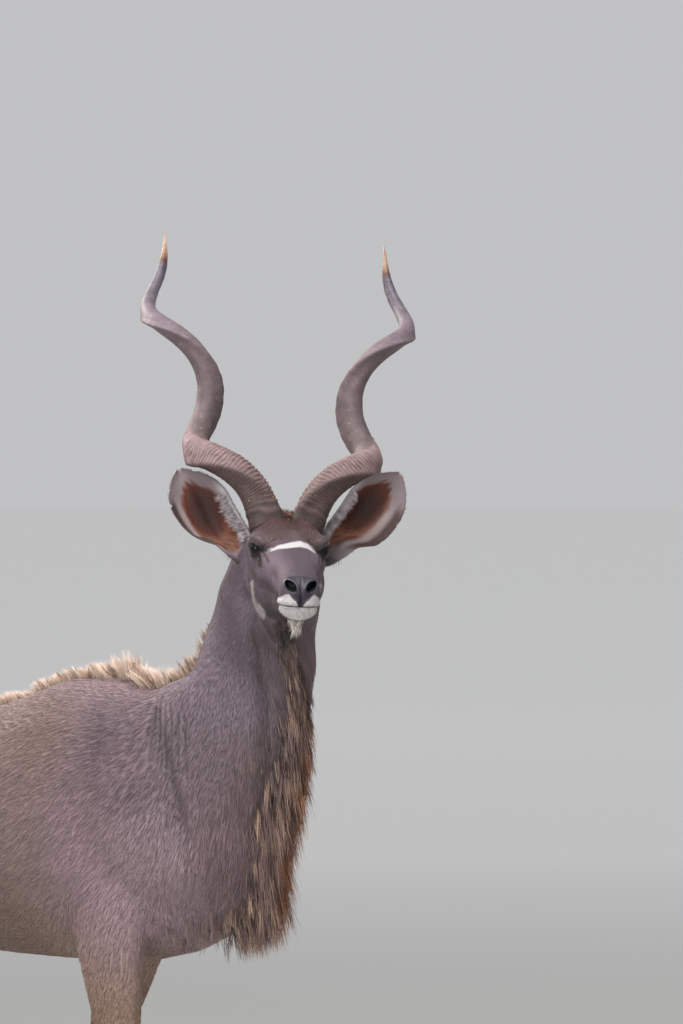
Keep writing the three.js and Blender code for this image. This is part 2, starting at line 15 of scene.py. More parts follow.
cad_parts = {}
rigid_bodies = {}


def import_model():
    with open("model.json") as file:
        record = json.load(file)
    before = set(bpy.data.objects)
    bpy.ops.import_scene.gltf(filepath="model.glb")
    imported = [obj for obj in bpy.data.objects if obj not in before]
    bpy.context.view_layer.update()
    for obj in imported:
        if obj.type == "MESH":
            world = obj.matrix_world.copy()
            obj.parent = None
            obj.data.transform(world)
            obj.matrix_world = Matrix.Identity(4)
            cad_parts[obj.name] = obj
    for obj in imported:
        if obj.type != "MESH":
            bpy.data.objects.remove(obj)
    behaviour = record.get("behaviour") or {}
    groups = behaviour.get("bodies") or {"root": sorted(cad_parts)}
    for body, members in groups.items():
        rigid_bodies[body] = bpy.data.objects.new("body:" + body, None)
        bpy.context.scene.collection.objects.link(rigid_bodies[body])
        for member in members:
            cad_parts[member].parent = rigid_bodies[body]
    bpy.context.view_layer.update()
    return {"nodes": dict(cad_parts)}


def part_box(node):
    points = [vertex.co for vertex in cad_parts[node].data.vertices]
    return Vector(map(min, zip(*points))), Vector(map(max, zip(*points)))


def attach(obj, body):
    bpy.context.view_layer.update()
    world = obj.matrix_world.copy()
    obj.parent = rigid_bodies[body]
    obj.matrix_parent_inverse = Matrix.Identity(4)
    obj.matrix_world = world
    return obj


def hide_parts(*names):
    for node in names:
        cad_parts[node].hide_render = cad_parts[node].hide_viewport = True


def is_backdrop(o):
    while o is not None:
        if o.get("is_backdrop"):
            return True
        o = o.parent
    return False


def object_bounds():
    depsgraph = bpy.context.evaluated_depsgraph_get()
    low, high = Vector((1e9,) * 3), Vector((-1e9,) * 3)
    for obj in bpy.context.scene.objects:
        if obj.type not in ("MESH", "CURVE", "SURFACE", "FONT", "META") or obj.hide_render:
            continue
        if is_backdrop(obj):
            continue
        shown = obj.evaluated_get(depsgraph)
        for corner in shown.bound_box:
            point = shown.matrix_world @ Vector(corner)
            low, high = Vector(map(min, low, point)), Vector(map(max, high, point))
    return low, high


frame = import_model()
rng = np.random.default_rng(7)
print("solids in the frame:", len(frame["nodes"]))

# %% [markdown]
# The bull looks to its right, so its face has a frame of its own: along runs from the poll to the
# nose, left is the bull's left, and up is square to both. Sizes there are in millimetres, as on a
# taxidermist's drawing. The eyeballs in the frame say where the head is, and the three angles say
# how it is held. Body places are given as forward of the withers, left, and height.

# %% The frames of the head and the body
MM = 0.001
SIDES = {"left": 1, "right": -1}  # which way 'aside' counts on the two halves of the bull
HEAD_TURN, HEAD_PITCH, HEAD_ROLL = (math.radians(a) for a in (45.6, 12, 2.5))
EYE_AT = np.array([163.0, 69.0, -33.0])
POLL_AT = np.array([470.0, -24.0, 1802.0])


def unit(v):
    v = np.asarray(v, float)
    return v / np.maximum(np.linalg.norm(v, axis=-1, keepdims=True), 1e-12)


def turned(v, axis, angle):
    return np.array(Matrix.Rotation(angle, 3, Vector(axis)) @ Vector(v))


facing = np.array([-math.sin(HEAD_TURN), -math.cos(HEAD_TURN), 0.0])
forward = facing * math.cos(HEAD_PITCH) - np.array([0, 0, math.sin(HEAD_PITCH)])
leftward = turned(np.cross([0, 0, 1], facing), forward, -HEAD_ROLL)
HEAD_AXES = np.array([forward, leftward, np.cross(forward, leftward)])

eye_boxes = [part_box(f"eye_{side}") for side in ("left", "right")]
eye_middle = np.mean([np.array(corner) for box in eye_boxes for corner in box], axis=0)
POLL = eye_middle - (EYE_AT * [1, 0, 1]) @ HEAD_AXES * MM
# The withers are the zero of the body's own places.
WITHERS_X = POLL[0] - POLL_AT[1] * MM
WITHERS_Y = POLL[1] + POLL_AT[0] * MM


def on_head(spots):
    return POLL + np.asarray(spots, float) @ HEAD_AXES * MM


def head_way(way):
    return unit(np.asarray(way, float) @ HEAD_AXES)


def head_spots(points):
    return (points - POLL) @ HEAD_AXES.T / MM


def on_body(spots):
    ahead, left, height = np.moveaxis(np.asarray(spots, float), -1, 0)
    return np.stack([WITHERS_X + left * MM, WITHERS_Y - ahead * MM, height * MM], axis=-1)


def body_way(way):
    ahead, left, height = np.moveaxis(np.asarray(way, float), -1, 0)
    return unit(np.stack([left, -ahead, height], axis=-1))


def body_spots(points):
    x, y, z = points.T
    return np.stack([WITHERS_Y - y, x - WITHERS_X, z], axis=1) / MM


print("poll at", POLL.round(3), "withers at", round(WITHERS_X, 3), round(WITHERS_Y, 3))

# %% [markdown]
# The photograph was taken with a long lens from far off, nearly level with the bull's chest. A
# distance of 30 m and a narrow lens give the same flat perspective. The eyes stand above the middle
# of the picture and to its left, so the camera aims to their right and below them.

# %% The camera
CAMERA_TURN, CAMERA_RISE, CAMERA_AWAY = math.radians(52), math.radians(1.5), 30.0
EYE_PIXEL = (289.5, 550.0)
FRAME_PIXELS = (683, 1024)
PIXEL = 2.2 * MM  # what a pixel spans at the eyes
SENSOR = 36.0

right_way = np.array([math.cos(CAMERA_TURN), -math.sin(CAMERA_TURN), 0])
view_way = np.array([
    math.sin(CAMERA_TURN) * math.cos(CAMERA_RISE),
    math.cos(CAMERA_TURN) * math.cos(CAMERA_RISE),
    -math.sin(CAMERA_RISE),
])
up_way = np.cross(right_way, view_way)
between_eyes = on_head([165, 0, -33])
aim = between_eyes + right_way * PIXEL * (FRAME_PIXELS[0] / 2 - EYE_PIXEL[0])
aim = aim + up_way * PIXEL * (EYE_PIXEL[1] - FRAME_PIXELS[1] / 2)

camera_data = bpy.data.cameras.new("camera")
camera_data.lens = SENSOR * CAMERA_AWAY / (FRAME_PIXELS[1] * PIXEL)
camera_data.sensor_width = SENSOR
camera_data.clip_end = 100
camera = bpy.data.objects.new("camera", camera_data)
bpy.context.scene.collection.objects.link(camera)
turn = Matrix(np.array([right_way, up_way, -view_way]).T.tolist()).to_4x4()
camera.matrix_world = Matrix.Translation(Vector(aim - view_way * CAMERA_AWAY)) @ turn
bpy.context.scene.camera = camera
print("lens", round(camera_data.lens), "mm")

# %% [markdown]
# Under its coat the bull has one skin without a seam. Sculpted by hand it wouldn't match the solids,
# so it starts from the solids of flesh, read into a volume of small cells. The face needs finer detail
# than the flanks, so the space is stretched around the head before this, and let back after it: one
# size of cell then gives small faces there.

# %% Stretched space around the head
STRETCH, STRETCH_REACH = 2.0, 0.22
STRETCH_CENTRE = on_head([225, 0, -60])


def stretched(points):
    away = points - STRETCH_CENTRE
    r = np.linalg.norm(away, axis=1, keepdims=True) + 1e-9
    grown = r + STRETCH * STRETCH_REACH * (1 - np.exp(-r / STRETCH_REACH))
    return STRETCH_CENTRE + away * grown / r


def let_back(points):
    away = points - STRETCH_CENTRE
    goal = np.linalg.norm(away, axis=1, keepdims=True) + 1e-9
    r = goal.copy()
    for _ in range(12):
        fade = np.exp(-r / STRETCH_REACH)
        r -= (r + STRETCH * STRETCH_REACH * (1 - fade) - goal) / (1 + STRETCH * fade)
    return STRETCH_CENTRE + away * r / goal


print("stretch at the middle of the face:", 1 + STRETCH)

# %% [markdown]
# In a volume every place knows how far it is from the surface. The solids are faceted and parted by
# thin cuts. Growing the volume and shrinking it again closes the cuts and rounds the creases where
# the legs and the neck join the trunk, which joining the meshes alone would leave sharp.

# %% The closed volume of the flesh
def mesh_arrays(mesh):
    """The points and triangles of a mesh."""
    mesh.calc_loop_triangles()
    points = np.empty(len(mesh.vertices) * 3)
    mesh.vertices.foreach_get("co", points)
    faces = np.empty(len(mesh.loop_triangles) * 3, int)
    mesh.loop_triangles.foreach_get("vertices", faces)
    return points.reshape(-1, 3), faces.reshape(-1, 3)


def split_in_four(corners):
    """Each triangle, given by its corners, as four, so that a bent space bends it too."""
    a, b, c = corners[:, 0], corners[:, 1], corners[:, 2]
    ab, bc, ca = (a + b) / 2, (b + c) / 2, (c + a) / 2
    parts = [(a, ab, ca), (ab, b, bc), (ca, bc, c), (ab, bc, ca)]
    return np.concatenate([np.stack(p, axis=1) for p in parts])


FLESH = ["trunk", "neck", "head", "lower_jaw", "tail"]
FLESH += [f"{leg}leg_{side}" for leg in ("fore", "hind") for side in ("left", "right")]
VOXEL = 8 * MM
FILL = 24 * MM  # creases narrower than twice this are rounded
INSET = 2.5 * MM

corners = []
for name in FLESH + ["eye_left", "eye_right"]:
    points, faces = mesh_arrays(frame["nodes"][name].data)
    corners.append(points[faces])
corners = np.concatenate(corners)
for _ in range(2):
    corners = split_in_four(corners)
grid = openvdb.createLinearTransform(voxelSize=VOXEL)


def level_set(points, faces, quads, band):
    return openvdb.FloatGrid.createLevelSetFromPolygons(
        points.astype(np.float32), faces, quads, grid, band / VOXEL + 2
    )


soup = stretched(corners.reshape(-1, 3))
soup_faces = np.arange(len(soup), dtype=np.uint32).reshape(-1, 3)
flesh = level_set(soup, soup_faces, None, FILL)
grown = level_set(*flesh.convertToPolygons(FILL, 0), FILL + INSET)
skin_points, _, skin_quads = grown.convertToPolygons(-(FILL + INSET), 0)
skin_points = let_back(skin_points.astype(float))
print("skin points:", len(skin_points), "quads:", len(skin_quads))

# %% [markdown]
# The solids were faceted, so the skin is relaxed: each point moves towards the middle of its
# neighbours, many times. The trunk and neck take many rounds, the slim legs few, because relaxing
# also thins what it smooths. A share for each point says how far it moves in a round.

# %% Relax the skin
def edges_of(faces):
    """Each edge of the triangles once, as two columns of points."""
    sides = np.sort(np.concatenate([faces[:, [0, 1]], faces[:, [1, 2]], faces[:, [2, 0]]]), axis=1)
    key = np.unique(sides[:, 0] * (faces.max() + 1) + sides[:, 1])
    return np.stack(np.divmod(key, faces.max() + 1), axis=1)


def relaxed(points, edges, share, rounds):
    a, b = edges.T
    count = len(points)
    degree = np.bincount(a, minlength=count) + np.bincount(b, minlength=count)
    share = (np.broadcast_to(share, count) / degree)[:, None]
    for _ in range(rounds):
        total = np.stack([
            np.bincount(a, points[b, k], count) + np.bincount(b, points[a, k], count)
            for k in range(3)
        ], axis=1)
        points = points + share * (total - degree[:, None] * points)
    return points


def ramp(value, low, high):
    """0 up to low, 1 from high on, and smooth between."""
    t = np.clip((value - low) / (high - low), 0, 1)
    return t * t * (3 - 2 * t)


SKIN_SHARE, SKIN_ROUNDS = 0.55, 42
skin_faces = np.concatenate([skin_quads[:, [2, 1, 0]], skin_quads[:, [3, 2, 0]]]).astype(int)
skin_edges = edges_of(skin_faces)
ahead, left, height = body_spots(skin_points).T
along, aside, up = head_spots(skin_points).T
near_head = 1 - ramp(np.hypot(np.hypot(along - 210, aside), up + 70), 230, 330)
on_leg = 1 - ramp(height, 700, 960)
on_tail = ramp(-ahead, 1185, 1200)
share = SKIN_SHARE * (1 - 0.9 * on_leg) * (1 - 0.9 * on_tail) * (1 - 0.55 * near_head)
skin_points = relaxed(skin_points, skin_edges, share, SKIN_ROUNDS)
print("edges:", len(skin_edges))

# %% [markdown]
# The eyelids, nostrils and lips need faces of about a millimetre, the rest of the face two or three.
# So the triangles there are split again where they are needed. Only marked edges are cut, and each
# neighbour is split to match, so the skin stays closed.

# %% Finer faces where the face needs them
def finer(points, faces, marked):
    """Splits every edge between two marked points at its middle."""
    sides = np.sort(faces[:, [[0, 1], [1, 2], [2, 0]]].reshape(-1, 2), axis=1)
    keys, index = np.unique(sides[:, 0] * len(points) + sides[:, 1], return_inverse=True)
    edges = np.stack(np.divmod(keys, len(points)), axis=1)
    cut = marked[edges].all(axis=1)
    middle = np.full(len(edges), -1)
    middle[cut] = len(points) + np.arange(cut.sum())
    points = np.concatenate([points, points[edges[cut]].mean(axis=1)])
    mids = middle[index.reshape(-1, 3)]
    count = (mids >= 0).sum(axis=1)
    made = [faces[count == 0]]
    # turn each triangle so that the cut edges come first
    lead = np.where(count == 1, np.argmax(mids >= 0, axis=1), (np.argmin(mids >= 0, axis=1) + 1) % 3)
    order = (lead[:, None] + np.arange(3)) % 3
    v = np.take_along_axis(faces, order, axis=1)
    m = np.take_along_axis(mids, order, axis=1)
    for kind, parts in {
        1: [(0, 3, 2), (3, 1, 2)],
        2: [(3, 1, 4), (0, 3, 4), (0, 4, 2)],
        3: [(0, 3, 5), (3, 1, 4), (5, 4, 2), (3, 4, 5)],
    }.items():
        corners = np.concatenate([v, m], axis=1)[count == kind]
        made += [corners[:, part] for part in parts]
    return points, np.concatenate(made)


def near(spots, centre, halves, reach=1.0):
    """True for spots on the head inside an ellipsoid, and for its mirror image."""
    away = (spots * [1, np.sign(centre[1]) or 1, 1] - centre) / halves
    mirrored = (spots * [1, -(np.sign(centre[1]) or 1), 1] - centre) / halves
    return np.minimum((away**2).sum(1), (mirrored**2).sum(1)) < reach**2


for halves in (1.0, 0.8):
    spots = head_spots(skin_points)
    fine = near(spots, [166, 84, -32], np.array([40, 26, 30]) * halves)
    fine |= near(spots, [430, 0, -75], np.array([62, 62, 75]) * halves)
    fine |= near(spots, [375, 46, -104], np.array([60, 24, 18]) * halves)
    skin_points, skin_faces = finer(skin_points, skin_faces, fine)
skin_edges = edges_of(skin_faces)
print("skin points:", len(skin_points), "triangles:", len(skin_faces))

# %% [markdown]
# The face is then modelled as a sculptor models clay. Soft bumps and hollows, alike on both sides,
# give the forehead, the brows, the hollow before each eye, the ridge below it and the wings of the
# nostrils. Each one is a centre, its half sizes and a push, in millimetres on the head.

# %% Large forms of the face
def normals_of(points, faces):
    a, b, c = (points[faces[:, k]] for k in range(3))
    flat = np.cross(b - a, c - a)
    total = np.stack([
        sum(np.bincount(faces[:, k], flat[:, j], len(points)) for k in range(3)) for j in range(3)
    ], axis=1)
    return unit(total)


def moulded(spots, forms):
    """Moves spots by soft bumps and hollows, each one on both sides unless it is in the middle."""
    for centre, halves, push in forms:
        for side in (1, -1) if centre[1] else (1,):
            away = (spots - np.multiply(centre, [1, side, 1])) / halves
            weight = np.exp(-2 * (away**2).sum(axis=1))
            spots = spots + weight[:, None] * np.multiply(push, [1, side, 1])
    return spots


FACE_FORMS = [
    ([206, 58, -16], [40, 22, 30], [0, -4, -11]),  # hollow between the bridge and the eye
    ([152, 82, -9], [36, 16, 13], [3, 7, 3]),  # brow
    ([112, 40, 24], [36, 26, 22], [0, 0, 4]),  # swell of the forehead
    ([236, 64, -84], [56, 18, 20], [0, 5, 0]),  # ridge under the eye
    ([196, 76, -66], [26, 16, 16], [0, -5, 0]),  # hollow under the eye
    ([300, 50, -62], [56, 18, 18], [0, -4, 0]),  # side of the nose
    ([330, 42, -100], [46, 18, 16], [0, 3, 0]),  # cheek pouch behind the lips
    ([412, 30, -38], [26, 16, 16], [2, 4, 4]),  # wing of the nostril
    ([120, 84, -130], [60, 20, 60], [0, 3, 0]),  # chewing muscle
    ([395, 0, -138], [34, 26, 14], [2, 0, -3]),  # chin
    ([392, 30, -116], [28, 18, 14], [0, 6, 0]),  # lower lip
]
spots = moulded(head_spots(skin_points), FACE_FORMS)
skin_points = on_head(spots)
print("forms of the face:", len(FACE_FORMS))

# %% [markdown]
# An eyelid lies on the ball of the eye. Round each eye the skin is given by its direction from the
# middle of the ball: inside the almond of the opening it is drawn back behind the ball, at the edge
# it stands a lid's thickness off the ball, and further out it leaves the ball for the face.

# %% Eyelids
EYE_RADIUS = 18.2
LID = 2.4
OPENING_LONG, OPENING_UP, OPENING_DOWN = 21.0, 11.8, 11.2  # mm from the middle of the opening
OPENING_POWER = 1.55  # 2 would make an ellipse of it, and 1 a diamond
EYE_GAZE = unit([0.58, 0.81, 0.04])
EYE_CORNER = -unit(np.cross([-0.22, 0.0, 1.0], EYE_GAZE))
EYE_LIFT = -np.cross(EYE_GAZE, EYE_CORNER)


def eye_place(spots, side):
    """Distance from the ball's middle, place on the ball in mm, and mm outside the opening."""
    away = spots * [1, side, 1] - EYE_AT
    distance = np.linalg.norm(away, axis=1)
    out, fore, rise = away @ EYE_GAZE, away @ EYE_CORNER, away @ EYE_LIFT
    flat = np.hypot(fore, rise) + 1e-9
    arc = np.arctan2(flat, out) * EYE_RADIUS
    u, v = arc * fore / flat, arc * rise / flat
    tall = np.where(v > 0, OPENING_UP, OPENING_DOWN)
    size = (np.abs(u) / OPENING_LONG) ** OPENING_POWER + (np.abs(v) / tall) ** OPENING_POWER
    return away, distance, u, v, (size ** (1 / OPENING_POWER) - 1) * tall


def lidded(spots):
    """Lays the skin round each eye on its ball, with a crease above the upper lid."""
    for side in (1, -1):
        away, distance, _, v, outside = eye_place(spots, side)
        lid = EYE_RADIUS + LID + 0.05 * np.maximum(outside, 0) ** 1.7
        lid -= 1.3 * np.exp(-(((outside - 6.5) / 1.6) ** 2)) * ramp(v, -4, 4)
        radius = lid + (distance - lid) * ramp(outside, 5, 15)
        radius += (EYE_RADIUS - 5 - radius) * (1 - ramp(outside, -1.6, 0.2))
        moved = (EYE_AT + away / distance[:, None] * radius[:, None]) * [1, side, 1]
        spots = np.where((distance < 60)[:, None], moved, spots)
    return spots


skin_points = on_head(lidded(head_spots(skin_points)))
print("corner of the eye points", EYE_CORNER.round(2), "lift", EYE_LIFT.round(2))

# %% [markdown]
# The nose pad faces forward. Each nostril is a comma, wide near the middle and running out and up,
# sunk well back with a raised rim. A groove parts the pad and the upper lip in the middle, and the
# mouth is a thin crease between the full white pads of the upper lip and the chin.

# %% Nostrils, lips and mouth
NOSTRIL = np.array([23.0, -53.5])  # to the side, and up
NOSTRIL_LONG, NOSTRIL_TALL, NOSTRIL_DEPTH = 12.6, 8.5, 25
NOSTRIL_LEAN = math.radians(24)
MOUTH_FRONT, MOUTH_CORNER = 424.0, 348.0
MOUTH_UP, MOUTH_FALL = -98, 13  # height of its front, and how far it falls to the corner
RIM_RISE, PAD_RISE, CHIN_RISE, CREASE_DEPTH = 1.3, 3.4, 1.8, 5.5  # mm along the normal


def nostril_size(spots):
    """0 in the middle of the nearer nostril and 1 at its edge."""
    side, up = np.abs(spots[:, 1]) - NOSTRIL[0], spots[:, 2] - NOSTRIL[1]
    across = side * math.cos(NOSTRIL_LEAN) + up * math.sin(NOSTRIL_LEAN)
    rise = up * math.cos(NOSTRIL_LEAN) - side * math.sin(NOSTRIL_LEAN)
    rise = rise - 0.012 * across * np.abs(across)
    return np.hypot(across / NOSTRIL_LONG, rise / NOSTRIL_TALL)


def mouth_line(along):
    """Height of the mouth's crease."""
    share = np.clip((MOUTH_FRONT - along) / (MOUTH_FRONT - MOUTH_CORNER), 0, 1.2)
    return MOUTH_UP - MOUTH_FALL * share**1.3


spots = head_spots(skin_points)
normals = normals_of(spots, skin_faces)
along, aside, up = spots.T
front = ramp(along, 392, 408)
size = nostril_size(spots)
rim = np.exp(-(((size - 1.4) / 0.32) ** 2)) * front * ramp(up, -66, -52)
hole = (1 - ramp(size, 0.72, 1.12)) * front
groove = np.exp(-((aside / 2.6) ** 2)) * front * ramp(-up, 34, 44) * (1 - ramp(-up, 96, 100))
below = mouth_line(along) - up
lips = ramp(along, MOUTH_CORNER - 4, MOUTH_CORNER + 14)
crease = np.exp(-((below / 1.9) ** 2)) * lips
pads = np.exp(-(((below + 9) / 6.5) ** 2)) * lips * ramp(np.abs(aside), 2, 9)
chin = np.exp(-(((below - 9) / 8) ** 2)) * lips
lift = RIM_RISE * rim + PAD_RISE * pads + CHIN_RISE * chin - CREASE_DEPTH * crease
spots = spots + normals * lift[:, None]
spots[:, 0] -= NOSTRIL_DEPTH * hole + (1.5 + 2.5 * ramp(-up, 60, 80)) * groove
spots[:, 1] -= np.sign(aside) * 3 * hole
skin_points = on_head(spots)
fine = near(head_spots(skin_points), [400, 0, -80], np.array([90, 75, 75]))
skin_points = relaxed(skin_points, skin_edges, 0.4 * fine, 2)
print("points on the muzzle:", fine.sum())

# %% [markdown]
# Under the thin skin of neck and shoulder lie flat muscles. The edge of the shoulder blade shows as
# a long groove, the skin before it hangs in a few upright folds as the neck turns, and a furrow runs
# down each side of the windpipe. Behind, the ribs show faintly and the flank is hollow in front of
# the hip. The soft forms are bumps as on the face; the folds are lines on the side of the body,
# pressed in along the normal.

# %% Forms and folds of the body
BODY_FORMS = [
    ([70, 170, 1190], [90, 40, 150], [0, 8, 0]),  # shoulder blade
    ([10, 185, 985], [100, 45, 90], [0, 10, 0]),  # upper arm
    ([250, 140, 1010], [60, 50, 70], [12, 5, 0]),  # point of the shoulder
    ([-110, 195, 1020], [60, 45, 160], [0, -12, 0]),  # hollow behind the shoulder
    ([-740, 185, 1230], [110, 60, 110], [0, -18, 0]),  # hollow of the flank
    ([-830, 105, 1345], [50, 40, 30], [0, 5, 7]),  # hip
    ([-1000, 150, 1200], [90, 50, 110], [0, 8, 0]),  # buttock
    ([500, 60, 1560], [50, 50, 60], [-8, 0, 6]),  # hollow under the jaw
    ([228, 0, 1462], [80, 90, 75], [40, 0, -16]),  # bend between the neck and the withers
]
# each fold is a line, its half width and its depth
SHOULDER_GROOVE = [(148, 85, 1391), (215, 140, 1308), (252, 151, 1220), (279, 148, 1132), (309, 148, 1045)]
WINDPIPE_FURROW = [
    (475, 118, 1600), (468, 125, 1535), (472, 110, 1446),
    (470, 88, 1357), (456, 62, 1267), (430, 42, 1150),
]
JAW_FURROW = [(455, -172, 1720), (474, -166, 1650), (486, -136, 1578), (502, -112, 1538), (518, -88, 1512)]
BLADE_EDGE = [(20, 120, 1385), (40, 178, 1290), (60, 192, 1180)]
FOLDS = [(SHOULDER_GROOVE, 17, 9), (WINDPIPE_FURROW, 15, 9), (JAW_FURROW, 10, 8), (BLADE_EDGE, 26, 4)]
NECK_FOLDS, RIB_GAPS = 6, 7
for i in range(NECK_FOLDS):
    line = [(157 + 19 * i, 86, 1402), (176 + 20 * i, 118, 1345), (190 + 20 * i, 146, 1262 - 6 * i)]
    FOLDS.append((line, 6.5, 9.0))
for i in range(RIB_GAPS):
    line = [(-190 - 62 * i, 215, 1270), (-215 - 62 * i, 240, 1050), (-175 - 58 * i, 200, 900)]
    FOLDS.append((line, 20, 2.2))


def line_gap(spots, line):
    """Distance from a broken line, and the share of the way along it."""
    best, share = np.full(len(spots), 1e9), np.zeros(len(spots))
    line = np.array(line, float)
    for i, (a, b) in enumerate(zip(line[:-1], line[1:])):
        run = b - a
        s = np.clip((spots - a) @ run / (run @ run), 0, 1)
        gap = np.linalg.norm(spots - a - s[:, None] * run, axis=1)
        share = np.where(gap < best, (i + s) / (len(line) - 1), share)
        best = np.minimum(best, gap)
    return best, share


def folds_at(points):
    """Depth of the folds at each point, in mm."""
    raw = body_spots(points)
    both = raw.copy()
    both[:, 1] = np.abs(both[:, 1])
    total = np.zeros(len(raw))
    for line, half, deep in FOLDS:
        # a line on the right is for that side only, as the neck is bent to it
        spots = raw if line[0][1] < 0 else both
        margin = 3 * half + 30
        low, high = np.min(line, axis=0) - margin, np.max(line, axis=0) + margin
        inside = np.flatnonzero(((spots > low) & (spots < high)).all(axis=1))
        # the lines are drawn near the skin, so their distance from it doesn't count fully
        gap, share = line_gap(spots[inside] * [1, 0.35, 1], np.multiply(line, [1, 0.35, 1]))
        ends = np.sin(math.pi * np.clip(share, 0.03, 0.97)) ** 0.5
        total[inside] += deep * np.exp(-((gap / half) ** 2)) * ends
    return total


spots = body_spots(skin_points)
# the narrow folds at the base of the neck need finer faces
low, high = [120, 40, 1190], [330, 1000, 1425]
spots[:, 1] = np.abs(spots[:, 1])
fine = ((spots > low) & (spots < high)).all(axis=1)
skin_points, skin_faces = finer(skin_points, skin_faces, fine)
skin_points = on_body(moulded(body_spots(skin_points), BODY_FORMS))
pressed = folds_at(skin_points)[:, None] * MM
skin_points = skin_points - normals_of(skin_points, skin_faces) * pressed
print("folds:", len(FOLDS), "deepest", round(pressed.max() / MM, 1), "mm")

# %% [markdown]
# Ears, eyes, horns, hooves and hair are built from formulas. Blender takes their points and faces as
# whole arrays, which is far quicker than adding them one by one. What follows a few measured numbers,
# such as the width of an ear, is read off a smooth curve through them.

# %% Meshes from arrays
def new_piece(name, points, faces):
    """A mesh object of these points and faces, shaded smooth."""
    mesh = bpy.data.meshes.new(name)
    sides = faces.shape[1]
    mesh.vertices.add(len(points))
    mesh.vertices.foreach_set("co", np.ascontiguousarray(points, np.float32).ravel())
    mesh.loops.add(faces.size)
    mesh.loops.foreach_set("vertex_index", np.ascontiguousarray(faces, np.int32).ravel())
    mesh.polygons.add(len(faces))
    mesh.polygons.foreach_set("loop_start", np.arange(0, faces.size, sides, dtype=np.int32))
    mesh.polygons.foreach_set("use_smooth", np.ones(len(faces), bool))
    mesh.update(calc_edges=True)
    piece = bpy.data.objects.new(name, mesh)
    bpy.context.scene.collection.objects.link(piece)
    return piece


def evenly(values, t):
    """A value read off a smooth curve through evenly spread values, which never overshoots."""
    values, t = np.asarray(values, float), np.asarray(t, float)
    last = len(values) - 1
    rise = np.diff(values)
    slope = np.zeros(last + 1)
    for i in range(1, last):
        if rise[i - 1] * rise[i] > 0:
            slope[i] = 2 * rise[i - 1] * rise[i] / (rise[i - 1] + rise[i])
    for i, near, other in ((0, rise[0], rise[1]), (last, rise[-1], rise[-2])):
        guess = (3 * near - other) / 2
        if guess * near > 0:
            slope[i] = 3 * near if near * other < 0 and abs(guess) > abs(3 * near) else guess
    at = np.minimum((t * last).astype(int), last - 1)
    s = t * last - at
    base = values[at] + rise[at] * (3 - 2 * s) * s * s
    return base + s * (1 - s) * ((1 - s) * slope[at] - s * slope[at + 1])


def through(rows, t):
    """Rows of numbers read at places between them, on a smooth curve."""
    return np.stack([evenly(column, t) for column in np.transpose(rows)], axis=1)


def tube_faces(rows, count):
    """Triangles between closed rings of points that follow each other."""
    i = np.arange((rows - 1) * count)
    j = i - i % count + (i + 1) % count
    return np.concatenate([np.stack([i, j, j + count], 1), np.stack([i, j + count, i + count], 1)])


print("a curve through 0, 1, 0 is", evenly([0, 1, 0], 0.25).round(2), "at a quarter of its way")

# %% [markdown]
# The ears are great cupped leaves of thin cartilage, furred on both faces and almost bare and red in
# the hollow. As shells they are too thin for the volume, so they are swept from the solid's numbers
# as a front and a back face, closed at the rim, and then joined to the skin where their feet sink
# into the head. The rim is thin and nicked, and ribs run up the hollow.

# %% The shape of the ears
EAR_FOOT, EAR_LENGTH = np.array([76.0, 78.0, -66.0]), 260.0
EAR_WAY = {"left": [-0.28, 0.53, 0.8], "right": [-0.64, 0.42, 0.66]}
EAR_SPIN = {"left": 0.0, "right": math.radians(18)}
# where the two edges lie across the ear and how deep its cup is, from foot to tip, in mm
EAR_INNER = [6, -20, -28, -27, -26, -26, -19, 2, 40]
EAR_OUTER = [36, 52, 64, 97, 108, 111, 106, 89, 56]
EAR_CUP = [22, 38, 52, 55, 50, 42, 32, 20, 5]
EAR_NICKS = {"left": [(0.62, 1, 2.5)], "right": [(0.93, -1, 5), (0.70, 1, 6), (0.84, 1, 3)]}
EAR_COAT = 2.5  # how far the fur stands off the rim
EAR_TIP = 0.985  # share of the length that the bare ear has, without its fur


def ear_axes(name):
    """Up the ear, the way it opens and outward across it, as they are on a left ear."""
    way = unit(EAR_WAY[name])
    opening = turned(unit(np.array([1.0, 0, 0]) - way * way[0]), way, -EAR_SPIN[name])
    return way, opening, np.cross(way, opening)


def ear_surface(name, t, s):
    """Points of the front face and the way it opens, for t up the ear and s across it."""
    way, opening, outward = ear_axes(name)
    inner, outer = evenly(EAR_INNER, t), evenly(EAR_OUTER, t)
    half = (outer - inner) / 2 - EAR_COAT
    reach = (inner + outer) / 2 + s * half
    for at, edge, deep in EAR_NICKS[name]:
        dip = deep * np.exp(-(((t - at) / 0.012) ** 2)) * np.maximum(edge * s, 0) ** 16
        reach = reach - edge * dip
    depth = evenly(EAR_CUP, t) * (np.abs(s) ** 2.2 - 1)
    ribs = np.sin(s * 9 + 1.2) * 1.6 * (1 - s**2) * ramp(t, 0.1, 0.4) * (1 - ramp(t, 0.7, 0.95))
    up = EAR_LENGTH * (t * EAR_TIP)
    points = EAR_FOOT + up[..., None] * way + reach[..., None] * outward
    points = points + (depth + ribs)[..., None] * opening
    return points * [1, SIDES[name], 1], opening * [1, SIDES[name], 1]


def ear_place(spots, name):
    """Up the ear, across it, and mm in front of its front face, for spots on the head."""
    way, opening, outward = ear_axes(name)
    away = spots * [1, SIDES[name], 1] - EAR_FOOT
    up = away @ way / (EAR_LENGTH * EAR_TIP)
    t = np.clip(up, 0, 1)
    inner, outer = evenly(EAR_INNER, t), evenly(EAR_OUTER, t)
    s = (away @ outward - (inner + outer) / 2) / ((outer - inner) / 2 - EAR_COAT)
    depth = evenly(EAR_CUP, t) * (np.minimum(np.abs(s), 1) ** 2.2 - 1)
    return up, s, away @ opening - depth


print("ears:", EAR_LENGTH, "mm from the foot in the head to the tip")

